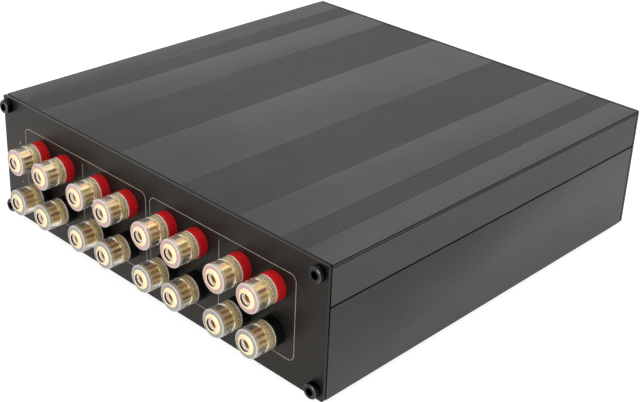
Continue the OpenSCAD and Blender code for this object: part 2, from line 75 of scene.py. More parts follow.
def rounded(outline: Sequence[Triple], steps: int = 4) -> np.ndarray:
    """Rounds the corners of a closed outline.

    Each corner is replaced by a quadratic Bezier curve that leaves the two sides at the fillet's
    distance, or at 45% of the shorter side where that is less.

    Args:
        outline: corners as (along, radius, fillet), in order round the section.
        steps: straight pieces in each rounded corner.

    Returns:
        The (n, 2) points of the rounded outline.
    """
    corners = np.array([(a, r) for a, r, _ in outline])
    points: list[np.ndarray] = []
    for i, (_, _, fillet) in enumerate(outline):
        corner = corners[i]
        before = corners[i - 1] - corner
        after = corners[(i + 1) % len(corners)] - corner
        reach = min(fillet, LONGEST_FILLET * np.linalg.norm(before), LONGEST_FILLET * np.linalg.norm(after))
        if reach <= 0:
            points.append(corner[None, :])
            continue
        start = corner + before / np.linalg.norm(before) * reach
        end = corner + after / np.linalg.norm(after) * reach
        t = np.linspace(0, 1, steps + 1)[:, None]
        points.append((1 - t) ** 2 * start + 2 * t * (1 - t) * corner + t**2 * end)
    return np.concatenate(points)


def grid_faces(rows: int, columns: int, close_rows: bool, close_columns: bool) -> np.ndarray:
    """Quads of a grid of points numbered row by row.

    Args:
        rows: rows of points.
        columns: points in each row.
        close_rows: the last row joins the first.
        close_columns: the last point of each row joins its first.

    Returns:
        The (faces, 4) vertex numbers.
    """
    i = np.arange(rows if close_rows else rows - 1)[:, None]
    j = np.arange(columns if close_columns else columns - 1)[None, :]
    below, right = (i + 1) % rows, (j + 1) % columns
    quads = np.stack([i * columns + j, i * columns + right, below * columns + right, below * columns + j], -1)
    return quads.reshape(-1, 4)


def placed(name: str, data: bpy.types.ID) -> bpy.types.Object:
    """Puts a mesh, text, lamp or camera into the scene.

    Args:
        name: the object's name.
        data: what the object holds.

    Returns:
        The new object, at the origin.
    """
    piece = bpy.data.objects.new(name, data)
    bpy.context.scene.collection.objects.link(piece)
    return piece


def smooth_shaded(mesh: bpy.types.Mesh, sharp: float) -> None:
    """Shades a mesh smooth, apart from its edges past an angle in degrees."""
    mesh.polygons.foreach_set("use_smooth", np.ones(len(mesh.polygons), bool))
    mesh.set_sharp_from_angle(angle=math.radians(sharp))


def final_mesh(piece: bpy.types.Object) -> bpy.types.Mesh:
    """A new mesh of an object as its modifiers or its letters make it."""
    return bpy.data.meshes.new_from_object(piece.evaluated_get(bpy.context.evaluated_depsgraph_get()))


def mesh_object(name: str, points: np.ndarray, faces: Faces, sharp: float = 35.0) -> bpy.types.Object:
    """Makes an object of points and faces whose faces point outwards.

    The sign of the enclosed volume, summed over the faces' triangle fans, tells whether the faces
    run the right way round, and they are reversed where they don't.

    Args:
        name: the object's name.
        points: (n, 3) points, in millimetres.
        faces: vertex numbers of each face.
        sharp: angle in degrees past which an edge stays sharp.

    Returns:
        The new object, at the origin.
    """
    fans = np.array([(f[0], f[k], f[k + 1]) for f in faces for k in range(1, len(f) - 1)])
    a, b, c = points[fans[:, 0]], points[fans[:, 1]], points[fans[:, 2]]
    volume = np.einsum("ij,ij->i", a - points.mean(0), np.cross(b - a, c - a)).sum()
    ordered = [list(f)[::-1] if volume < 0 else list(f) for f in faces]
    mesh = bpy.data.meshes.new(name)
    mesh.from_pydata((points * MM).tolist(), [], ordered)
    mesh.update()
    smooth_shaded(mesh, sharp)
    return placed(name, mesh)


def marked_object(name: str, surface: MarkedSurface, sharp: float = 35.0) -> bpy.types.Object:
    """Makes an object whose vertices carry numbers from 0 to 1 that its finish reads.

    Args:
        name: the object's name.
        surface: its points, its faces and each point's number, such as how deep it lies in a knurl.
        sharp: angle in degrees past which an edge stays sharp.

    Returns:
        The new object, at the origin.
    """
    points, faces, marks = surface
    piece = mesh_object(name, points, faces, sharp)
    layer = piece.data.attributes.new(MARK, "FLOAT", "POINT")
    layer.data.foreach_set("value", np.asarray(marks, np.float32))
    return piece


def joined(parts: Sequence[Surface]) -> Surface:
    """Puts several closed surfaces into one list of points and one of faces.

    Args:
        parts: points and faces of each surface.

    Returns:
        All the points, and all the faces with their vertex numbers moved on.
    """
    points, faces, start = [], [], 0
    for part_points, part_faces in parts:
        points.append(part_points)
        faces.extend([[int(v) + start for v in f] for f in part_faces])
        start += len(part_points)
    return np.concatenate(points), faces


def profile(rows: Sequence[tuple], segments: int) -> tuple[np.ndarray, np.ndarray]:
    """Places and radii of the rows of a turned piece.

    Args:
        rows: each with a place along the line first and then a radius, which is one number for a
            circle or (segments,) numbers for a knurl or a polygon.
        segments: points round each turn.

    Returns:
        The (n,) places and the (n, segments) radii.
    """
    along = np.array([row[0] for row in rows])
    return along, np.array([np.broadcast_to(row[1], segments) for row in rows])


@dataclass(frozen=True)
class Spindle:
    """A line along Y that round pieces are turned on.

    Attributes:
        x: place across the case.
        z: place above the floor.
        face: the Y that lengths along the line are counted from.
        outward: -1 where the line leaves the back panel, 1 where it leaves the front.
    """

    x: float
    z: float
    face: float
    outward: int

    def turned(self, along: np.ndarray, radius: np.ndarray, segments: int) -> Surface:
        """A closed ring-shaped surface: (x + r cos a, face + outward s, z + r sin a) for each s and a.

        Args:
            along: (n,) places along the line, in order round the section.
            radius: (n,) or (n, segments) radii at those places.
            segments: points round each turn.

        Returns:
            The points and the quads of the surface.
        """
        angle = np.arange(segments) * TURN / segments
        radii = np.broadcast_to(radius if radius.ndim == 2 else radius[:, None], (len(along), segments))
        x = self.x + radii * np.cos(angle)
        z = self.z + radii * np.sin(angle)
        y = np.broadcast_to((self.face + self.outward * along)[:, None], x.shape)
        points = np.stack([x, y, z], -1).reshape(-1, 3)
        return points, grid_faces(len(along), segments, True, True)

    def capped(self, along: np.ndarray, radius: np.ndarray, segments: int) -> Surface:
        """A turned surface that starts and ends on the line itself, each end closed by a fan.

        Args:
            along: (n,) places along the line, the first and the last being those of the two ends.
            radius: (n,) or (n, segments) radii, above zero.
            segments: points round each turn.

        Returns:
            The points and the faces of the surface.
        """
        points, _ = self.turned(along, radius, segments)
        quads = grid_faces(len(along), segments, False, True)
        poles = np.array([[self.x, self.face + self.outward * along[k], self.z] for k in (0, -1)])
        first, last = len(points), len(points) + 1
        j = np.arange(segments)
        k = (j + 1) % segments
        top = (len(along) - 1) * segments
        fans = [[first, int(b), int(a)] for a, b in zip(j, k)]
        fans += [[last, int(top + a), int(top + b)] for a, b in zip(j, k)]
        return np.concatenate([points, poles]), quads.tolist() + fans


def polygon_radius(circumradius: float, sides: int, segments: int) -> np.ndarray:
    """Radius round a regular polygon: its half width over the cosine of the angle from a side's middle.

    Args:
        circumradius: radius over the corners.
        sides: the polygon's sides.
        segments: points round it, with one at each corner.

    Returns:
        The (segments,) radii.
    """
    step = TURN / sides
    angle = np.arange(segments) * TURN / segments
    from_middle = np.mod(angle, step) - step / 2
    return circumradius * math.cos(step / 2) / np.cos(from_middle)


def toothed_radius(radius: float, depth: float, teeth: int, segments: int) -> np.ndarray:
    """Radius round a knurl: a triangle wave of the angle, flattened a little at its crests and roots.

    Args:
        radius: radius over the crests.
        depth: the teeth's depth.
        teeth: teeth round the knurl.
        segments: points round it.

    Returns:
        The (segments,) radii.
    """
    steepness, crest_width = 1.6, 0.45
    phase = np.mod(np.arange(segments) * teeth / segments, 1.0)
    wave = np.abs(2 * phase - 1)
    return radius - depth * np.clip(steepness * wave - crest_width, 0, 1)


def strip(path: np.ndarray, width: float, thickness: float, face: float, outward: int,
          closed: bool = False) -> Surface:
    """A thin printed line on a panel: a small rectangle carried along a flat path.

    Each point is moved along the path's normal by half the width to both sides, and lifted from
    the panel by the thickness. A quarter of that more lies in the panel.

    Args:
        path: (n, 2) points as (x, z).
        width: the line's width.
        thickness: how far the ink stands on the panel.
        face: the Y of the panel's outer face.
        outward: -1 on the back panel, 1 on the front.
        closed: the path is a loop.

    Returns:
        The points and the faces of the line.
    """
    if closed:
        along = np.roll(path, -1, 0) - np.roll(path, 1, 0)
    else:
        along = np.gradient(path, axis=0)
    along = along / np.linalg.norm(along, axis=1, keepdims=True)
    side = np.stack([-along[:, 1], along[:, 0]], 1) * width / 2
    near, far = face - outward * thickness / 4, face + outward * thickness
    corners = [(path + side, near), (path + side, far), (path - side, far), (path - side, near)]
    ring = np.stack([np.stack([p[:, 0], np.full(len(p), y), p[:, 1]], 1) for p, y in corners], 1)
    faces = grid_faces(len(path), 4, closed, True).tolist()
    if not closed:
        last = 4 * (len(path) - 1)
        faces += [[3, 2, 1, 0], [last, last + 1, last + 2, last + 3]]
    return ring.reshape(-1, 3), faces


def frame_path(x0: float, x1: float, z0: float, z1: float, radius: float, steps: int = 8) -> np.ndarray:
    """A rectangle with quarter circles at its corners: (centre x + r cos a, centre z + r sin a) on each.

    Args:
        x0: its left side.
        x1: its right side.
        z0: its lower side.
        z1: its upper side.
        radius: the corners' radius.
        steps: straight pieces in each corner.

    Returns:
        The (n, 2) points, in order round it.
    """
    turn = np.linspace(0, TURN / 4, steps + 1)
    centres = [(x1 - radius, z1 - radius), (x0 + radius, z1 - radius), (x0 + radius, z0 + radius),
               (x1 - radius, z0 + radius)]
    arcs = []
    for quarter, (x, z) in enumerate(centres):
        angle = turn + quarter * TURN / 4
        arcs.append(np.stack([x + radius * np.cos(angle), z + radius * np.sin(angle)], 1))
    return np.concatenate(arcs)


def bevelled_copy(node: str, name: str, width: float, segments: int, angle: float = 35.0,
                  smooth: float = 35.0) -> bpy.types.Object:
    """A copy of a CAD node's mesh with its sharp edges broken.

    The copy's loose triangles are merged and its flat faces joined before the bevel.

    Args:
        node: the CAD node.
        name: the new piece's name.
        width: the bevel's width.
        segments: the bevel's segments.
        angle: the least angle in degrees of an edge that is broken.
        smooth: angle in degrees past which an edge of the finished piece stays sharp.

    Returns:
        The new piece, with its bevel applied.
    """
    merge_distance, flat_angle = 0.002, 0.5
    work = bmesh.new()
    work.from_mesh(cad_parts[node].data)
    bmesh.ops.remove_doubles(work, verts=work.verts, dist=merge_distance * MM)
    bmesh.ops.dissolve_limit(work, angle_limit=math.radians(flat_angle), verts=work.verts, edges=work.edges)
    mesh = bpy.data.meshes.new(name)
    work.to_mesh(mesh)
    work.free()
    piece = placed(name, mesh)
    bevel = piece.modifiers.new("edges", "BEVEL")
    bevel.width = width * MM
    bevel.segments = segments
    bevel.limit_method = "ANGLE"
    bevel.angle_limit = math.radians(angle)
    shaped = final_mesh(piece)
    piece.modifiers.clear()
    piece.data = shaped
    smooth_shaded(shaped, smooth)
    return piece


# Finishes


class Nodes:
    """A small builder of material nodes."""

    def __init__(self, name: str) -> None:
        """Starts a new material with an empty node tree and one Principled shader.

        Args:
            name: the material's name.
        """
        self.material = bpy.data.materials.new(name)
        self.material.use_nodes = True
        self.tree = self.material.node_tree
        self.tree.nodes.clear()
        self.shader = self.add("ShaderNodeBsdfPrincipled")
        output = self.add("ShaderNodeOutputMaterial")
        self.link(self.shader.outputs["BSDF"], output.inputs["Surface"])
        self.place = self.add("ShaderNodeTexCoord").outputs["Object"]

    def add(self, kind: str, **values: object) -> bpy.types.Node:
        """Adds a node.

        Args:
            kind: the node's type.
            values: its properties or its unlinked inputs, with spaces written as underscores.

        Returns:
            The new node.
        """
        node = self.tree.nodes.new(kind)
        for key, value in values.items():
            if hasattr(node, key):
                setattr(node, key, value)
            else:
                node.inputs[key.replace("_", " ")].default_value = value
        return node

    def link(self, source: Socket, target: Socket) -> None:
        """Joins two sockets."""
        self.tree.links.new(source, target)

    def set(self, **values: object) -> None:
        """Sets the shader's own sockets, with spaces written as underscores."""
        for key, value in values.items():
            self.shader.inputs[key.replace("_", " ")].default_value = value

    def feed(self, **sources: Socket) -> None:
        """Links sources to the shader's sockets, with spaces written as underscores."""
        for key, source in sources.items():
            self.link(source, self.shader.inputs[key.replace("_", " ")])

    def noise(self, vector: Socket, scale: float, detail: float = 3.0) -> Socket:
        """Soft random patches.

        Args:
            vector: the place that they are read at.
            scale: how dense they are.
            detail: octaves of finer patches in them.

        Returns:
            The noise's factor.
        """
        node = self.add("ShaderNodeTexNoise", Scale=scale, Detail=detail, Roughness=NOISE_ROUGHNESS)
        self.link(vector, node.inputs["Vector"])
        return node.outputs["Fac"]

    def streaks(self, density: Triple) -> Socket:
        """Noise that is stretched into streaks.

        Args:
            density: how densely it runs along each axis.

        Returns:
            The noise's factor.
        """
        mapping = self.add("ShaderNodeMapping", Scale=density)
        self.link(self.place, mapping.inputs["Vector"])
        return self.noise(mapping.outputs["Vector"], scale=1.0, detail=2.0)

    def ramp(self, factor: Socket, stops: Sequence[Stop]) -> Socket:
        """Colours along a factor.

        Args:
            factor: the factor, from 0 to 1.
            stops: places along it, each with its colour, or with one number for a grey.

        Returns:
            The colour.
        """
        node = self.add("ShaderNodeValToRGB")
        band = node.color_ramp
        opaque = [(position, (*np.broadcast_to(colour, 3).tolist(), 1)) for position, colour in stops]
        for element, (position, colour) in zip(band.elements, (opaque[0], opaque[-1])):
            element.position, element.color = position, colour
        for position, colour in opaque[1:-1]:
            band.elements.new(position).color = colour
        self.link(factor, node.inputs["Fac"])
        return node.outputs["Color"]

    def patches(self, scale: float, *stops: Stop, detail: float = 3.0) -> Socket:
        """Soft patches of the colours at the stops."""
        return self.ramp(self.noise(self.place, scale, detail), stops)

    def marked(self, stops: Sequence[Stop]) -> Socket:
        """A colour for each number that a piece's vertices are marked with."""
        node = self.add("ShaderNodeAttribute", attribute_name=MARK)
        return self.ramp(node.outputs["Fac"], stops)

    def combined(self, kind: str, operation: str, first: Socket, second: Socket) -> Socket:
        """The outcome of a node that works on two sockets.

        Args:
            kind: the node's type.
            operation: what it does.
            first: its first input.
            second: its second input.

        Returns:
            Its first output.
        """
        node = self.add(kind, operation=operation)
        self.link(first, node.inputs[0])
        self.link(second, node.inputs[1])
        return node.outputs[0]

    def times(self, first: Socket, second: Socket) -> Socket:
        """One colour multiplied by another."""
        return self.combined("ShaderNodeVectorMath", "MULTIPLY", first, second)

    def plus(self, first: Socket, second: Socket) -> Socket:
        """One number added to another."""
        return self.combined("ShaderNodeMath", "ADD", first, second)

    def mapped(self, value: Socket, start: tuple[float, float], end: tuple[float, float]) -> Socket:
        """A number moved from one range to another, and held within it.

        Args:
            value: the number.
            start: its two places in the first range.
            end: where those two go.

        Returns:
            The moved number.
        """
        node = self.add("ShaderNodeMapRange", From_Min=start[0], From_Max=start[1], To_Min=end[0],
                        To_Max=end[1])
        self.link(value, node.inputs["Value"])
        return node.outputs["Result"]

    def beyond(self, axis: str, place: float, width: float, folded: bool = False) -> Socket:
        """A factor that rises from 0 to 1 over a width as X, Y or Z falls past a place.

        Args:
            axis: the coordinate.
            place: where the factor leaves 0.
            width: how far below the place it reaches 1; above it where this is negative.
            folded: the coordinate is taken without its sign.

        Returns:
            The factor.
        """
        where = self.place
        if folded:
            unsigned = self.add("ShaderNodeVectorMath", operation="ABSOLUTE")
            self.link(where, unsigned.inputs[0])
            where = unsigned.outputs["Vector"]
        axes = self.add("ShaderNodeSeparateXYZ")
        self.link(where, axes.inputs["Vector"])
        return self.mapped(axes.outputs[axis], (place * MM, (place - width) * MM), (0.0, 1.0))

    def around(self, noise: Socket, value: float, less: float, more: float) -> Socket:
        """A number that wanders with a noise, from less under a value to more over it."""
        return self.mapped(noise, (NOISE_LOW, NOISE_HIGH), (value - less, value + more))

    def bump(self, height: Socket, depth: float, strength: float, under: Socket | None = None) -> Socket:
        """Adds a bump to the shader's normal.

        Args:
            height: its relief, from 0 to 1.
            depth: how far 1 stands above 0.
            strength: how much of it shows.
            under: the normal of a bump that this one lies on.

        Returns:
            The bumped normal.
        """
        node = self.add("ShaderNodeBump", Strength=strength, Distance=depth * MM)
        self.link(height, node.inputs["Height"])
        if under is not None:
            self.link(under, node.inputs["Normal"])
        self.feed(Normal=node.outputs["Normal"])
        return node.outputs["Normal"]


class Recipe(ABC):
    """A finish, as a recipe of material nodes."""

    def material(self, name: str) -> bpy.types.Material:
        """Makes the finish's material.

        Args:
            name: the material's name.

        Returns:
            The material.
        """
        n = Nodes(name)
        self.lay(n)
        return n.material

    @abstractmethod
    def lay(self, n: Nodes) -> None:
        """Adds the finish's nodes to a new material.

        Args:
            n: the material's nodes.
        """


@dataclass(frozen=True)
class Anodised(Recipe):
    """Bead-blasted, anodised aluminium with an extrusion's faint drawing lines and painted shade in its
    grooves and seam.

    Attributes:
        colour: the dye's colour.
        worn: the colour of its lighter patches.
        roughness: the satin's roughness.
        lines: how strongly the drawing lines along Y show.
        index: the refractive index of the sealed surface, which sets how much it mirrors.
        metal: the share of bare metal that shines through the dye.
        mirrored: the colour that the mirrored light takes on.
        shaded_groove_top: the Z under which the ribs' grooves are painted in shade; none without ribs.
        groove_shade_left: how much of the dye's colour is left at each depth under shaded_groove_top, as
            painted shade.
        side_skin: how far from the middle the skin of the side faces ends; behind it, the fine grooves and
            the seam are painted in shade, as metal that mirrors with almost no colour; none without such
            grooves.
        seam_shade_inner: how far from the middle the painted shade begins.
        seam_shade_low: the Z that it begins at.
        seam_shade_high: the Z that it ends at.
        seam_shade_left: how much of the dye's colour is left under the painted shade.
    """

    colour: Colour
    worn: Colour
    roughness: float
    lines: float
    index: float = 1.6
    metal: float = 0.35
    mirrored: Colour = (1.0, 1.0, 1.0)
    shaded_groove_top: float | None = None
    groove_shade_left: tuple[Stop, ...] = ((0.0, 1.0), (0.12, 0.3), (0.4, 0.2), (0.46, 1.0))
    side_skin: float | None = None
    seam_shade_inner: float = 93.5
    seam_shade_low: float = 30.0
    seam_shade_high: float = 58.8
    seam_shade_left: float = 0.15

    def lay(self, n: Nodes) -> None:
        """Mottled dye with painted shade in its grooves, drawing lines stretched along Y, and a fine blasted
        grain.

        Args:
            n: the material's nodes.
        """
        dye = n.patches(35.0, (0.35, self.colour), (0.7, self.worn))
        n.set(Metallic=self.metal, IOR=self.index, Specular_Tint=(*self.mirrored, 1))
        # Painted shade: the dye darkens with depth in the ribs' grooves
        if self.shaded_groove_top is not None:
            dye = n.times(dye, n.ramp(n.beyond("Z", self.shaded_groove_top, width=1.0), self.groove_shade_left))
        # Painted shade: behind the side skin the grooves and the seam turn black
        if self.side_skin is not None:
            seam_shade = self.seam_shade(n)
            dye = n.times(dye, n.ramp(seam_shade, [(0.0, 1.0), (1.0, self.seam_shade_left)]))
            n.feed(Metallic=n.ramp(seam_shade, [(0.0, self.metal), (1.0, 1.0)]))
        drawn = n.streaks(DRAWING_LINES)
        n.feed(Base_Color=dye, Roughness=n.around(drawn, self.roughness, less=0.02, more=0.02))
        grain = n.noise(n.place, scale=4200.0, detail=2.0)
        n.bump(drawn, depth=0.004 * self.lines, strength=0.5, under=n.bump(grain, depth=0.006, strength=0.35))

    def seam_shade(self, n: Nodes) -> Socket:
        """A factor that is 1 behind the skin of the side faces, where the painted shade goes, and 0
        everywhere else.

        Args:
            n: the material's nodes.

        Returns:
            The factor.
        """
        between = n.times(n.beyond("Z", self.seam_shade_high, width=0.1), n.beyond("Z", self.seam_shade_low, width=-1.0))
        behind = n.beyond("X", self.side_skin, width=0.15, folded=True)
        return n.times(n.times(behind, n.beyond("X", self.seam_shade_inner, width=-1.0, folded=True)), between)


@dataclass(frozen=True)
class Moulded(Recipe):
    """Moulded opaque plastic or rubber.

    Attributes:
        colour: the pigment.
        roughness: the surface's roughness.
        grain: the moulding's texture depth.
        gloss: how much the surface mirrors, as a specular level.
        shade: how much of the pigment's colour is left in its darker patches.
    """

    colour: Colour
    roughness: float
    grain: float
    gloss: float = 0.5
    shade: float = 0.82

    def lay(self, n: Nodes) -> None:
        """Slightly uneven pigment under a fine moulding texture.

        Args:
            n: the material's nodes.
        """
        darker = tuple(c * self.shade for c in self.colour)
        n.set(Specular_IOR_Level=self.gloss, IOR=1.5)
        n.feed(Base_Color=n.patches(260.0, (0.35, darker), (0.65, self.colour)),
               Roughness=n.around(n.noise(n.place, scale=900.0), self.roughness, less=0.05, more=0.05))
        n.bump(n.noise(n.place, scale=2600.0, detail=2.0), depth=self.grain, strength=0.5)


@dataclass(frozen=True)
class ClearPlastic(Recipe):
    """Moulded plastic that light passes through, ground matt at its front end and at its rear rim, with a
    painted glow of the base's colour on its front face and painted highlights at its front edge and rim.

    The vertices are marked with their share of the way from the rear end to the front, and those
    of the polished bore with BORE.

    Attributes:
        tint: the colour that the plastic passes.
        roughness: the blur of what shows through.
        clear: the share of light that passes; the rest is scattered by the haze.
        ground_glow: the colour of the ground front face, with a painted glow of the base's colour.
        ground_clear: the share of light that passes there.
        window_clear: the share of light that passes round the flange, where the wall is thin.
        edge: the colour of the round edge of the front face, ground matt and painted lighter as a highlight.
        edge_clear: the share of light that passes there.
        band: the colour of the band behind that edge.
        band_clear: the share of light that passes there.
        rim: the colour of the rear rim, ground matt and painted lighter as a highlight.
        rim_clear: the share of light that passes there.
    """

    tint: Colour
    roughness: float
    clear: float
    ground_glow: Colour
    ground_clear: float = 0.3
    window_clear: float = 0.89
    edge: Colour = (0.82, 0.78, 0.71)
    edge_clear: float = 0.35
    band: Colour = (0.8, 0.74, 0.64)
    band_clear: float = 0.68
    rim: Colour = (0.82, 0.76, 0.64)
    rim_clear: float = 0.0

    def lay(self, n: Nodes) -> None:
        """Transmission by zones along the sleeve, mottled, with the faint waves of a small moulding.

        Args:
            n: the material's nodes.
        """
        # From rear rim to front face: the rim and front edge painted lighter as highlights, the front face
        # with a painted glow of the base's colour
        zones = (
            (0.0, self.rim, self.rim_clear), (0.05, self.rim, self.rim_clear),
            (0.065, self.tint, self.window_clear), (0.32, self.tint, self.window_clear),
            (BORE, self.tint, 1.0),
            (0.36, self.tint, self.clear), (0.81, self.tint, self.clear),
            (0.85, self.band, self.band_clear), (0.95, self.band, self.band_clear),
            (0.965, self.edge, self.edge_clear), (0.99, self.edge, self.edge_clear),
            (1.0, self.ground_glow, self.ground_clear),
        )
        tinted = n.marked([(place, colour) for place, colour, _ in zones])
        n.set(IOR=1.49)
        n.feed(Base_Color=n.times(tinted, n.patches(1400.0, (0.38, 0.86), (0.58, 1.0))),
               Transmission_Weight=n.marked([(place, clear) for place, _, clear in zones]),
               Roughness=n.around(n.noise(n.place, scale=700.0), self.roughness, less=0.0, more=0.05))
        n.bump(n.noise(n.place, scale=700.0, detail=2.0), depth=0.008, strength=0.2)


@dataclass(frozen=True)
class Zone:
    """How a metal looks where a piece's vertices carry one mark.

    Attributes:
        mark: the mark.
        tint: what the metal's colour is multiplied by.
        metal: the share that mirrors as metal does; the rest scatters.
        rougher: how much rougher the surface is.
    """

    mark: float
    tint: Colour
    metal: float = 1.0
    rougher: float = 0.0


@dataclass(frozen=True)
class TurnedMetal(Recipe):
    """Metal with the fine rings that a lathe leaves round a line along Y.

    Attributes:
        colour: the metal's or plating's colour.
        shade: its colour in the darker patches.
        roughness: how blurred its reflections are.
        rings: the depth of the turning rings.
        zones: how it looks at each mark of the vertices, as for painted shade in a knurl's roots; none where
            it is even.
    """

    colour: Colour
    shade: Colour
    roughness: float
    rings: float
    zones: tuple[Zone, ...] = ()

    def lay(self, n: Nodes) -> None:
        """Rings as noise that runs fast along Y and slowly across it, over clouded plating.

        Args:
            n: the material's nodes.
        """
        plating = n.patches(420.0, (0.3, self.shade), (0.6, self.colour))
        turning = n.streaks(LATHE_RINGS)
        blur = n.around(turning, self.roughness, less=0.0, more=0.08)
        n.set(Metallic=1.0)
        if self.zones:
            plating = n.times(plating, n.marked([(z.mark, z.tint) for z in self.zones]))
            blur = n.plus(blur, n.marked([(z.mark, z.rougher) for z in self.zones]))
            n.feed(Metallic=n.marked([(z.mark, z.metal) for z in self.zones]))
        n.feed(Base_Color=plating, Roughness=blur)
        n.bump(turning, depth=self.rings, strength=0.4)


@dataclass(frozen=True)
class StudMetal(Recipe):
    """Bored brass that turns pale, near white and matt past a place along Y.

    Attributes:
        colour: the bore's colour.
        shade: its colour in the darker patches.
        end: the pale colour past end_place.
        roughness: the bore's roughness.
        bore_metal: the share of the bore that mirrors as metal does.
        end_metal: the same share past end_place.
        end_place: the Y where the pale end begins.
    """

    colour: Colour
    shade: Colour
    end: Colour
    roughness: float
    bore_metal: float = 0.8
    end_metal: float = 0.1
    end_place: float = -112.05

    def lay(self, n: Nodes) -> None:
        """Clouded brass with boring rings, which turns pale past the end's place.

        Args:
            n: the material's nodes.
        """
        bore = n.patches(420.0, (0.3, self.shade), (0.6, self.colour))
        lift = tuple(e / c for e, c in zip(self.end, self.colour))
        past_end = n.beyond("Y", self.end_place, width=0.1)
        rings = n.streaks(LATHE_RINGS)
        n.feed(Base_Color=n.times(bore, n.ramp(past_end, [(0.0, 1.0), (1.0, lift)])),
               Metallic=n.ramp(past_end, [(0.0, self.bore_metal), (1.0, self.end_metal)]),
               Roughness=n.around(rings, self.roughness, less=0.0, more=0.08))
        n.bump(rings, depth=0.003, strength=0.4)


@dataclass(frozen=True)
class PrintedInk(Recipe):
    """Screen-printed ink.

    Attributes:
        colour: the ink.
        thin: the colour where the ink is thin.
    """

    colour: Colour
    thin: Colour

    def lay(self, n: Nodes) -> None:
        """Matt ink that is thinner in small specks.

        Args:
            n: the material's nodes.
        """
        n.set(Roughness=0.6)
        n.feed(Base_Color=n.patches(1500.0, (0.38, self.thin), (0.55, self.colour), detail=4.0))
        n.bump(n.noise(n.place, scale=3000.0), depth=0.004, strength=0.5)


@dataclass(frozen=True)
class Laminate(Recipe):
    """A board of woven glass or paper under resin.

    Attributes:
        colour: the resin.
        weave: the colour where the weave shows through.
        roughness: the resin's roughness.
    """

    colour: Colour
    weave: Colour
    roughness: float

    def lay(self, n: Nodes) -> None:
        """A fine square weave from two crossed waves, mottled by noise.

        Args:
            n: the material's nodes.
        """
        across, along = (n.add("ShaderNodeTexWave", Scale=220.0, Distortion=0.6, bands_direction=axis)
                         for axis in "XZ")
        for wave in (across, along):
            n.link(n.place, wave.inputs["Vector"])
        woven = n.combined("ShaderNodeMath", "MULTIPLY", across.outputs["Fac"], along.outputs["Fac"])
        n.feed(Base_Color=n.ramp(woven, [(0.1, self.colour), (0.9, self.weave)]),
               Roughness=n.around(n.noise(n.place, scale=300.0), self.roughness, less=0.05, more=0.08))
        n.bump(woven, depth=0.01, strength=0.3)


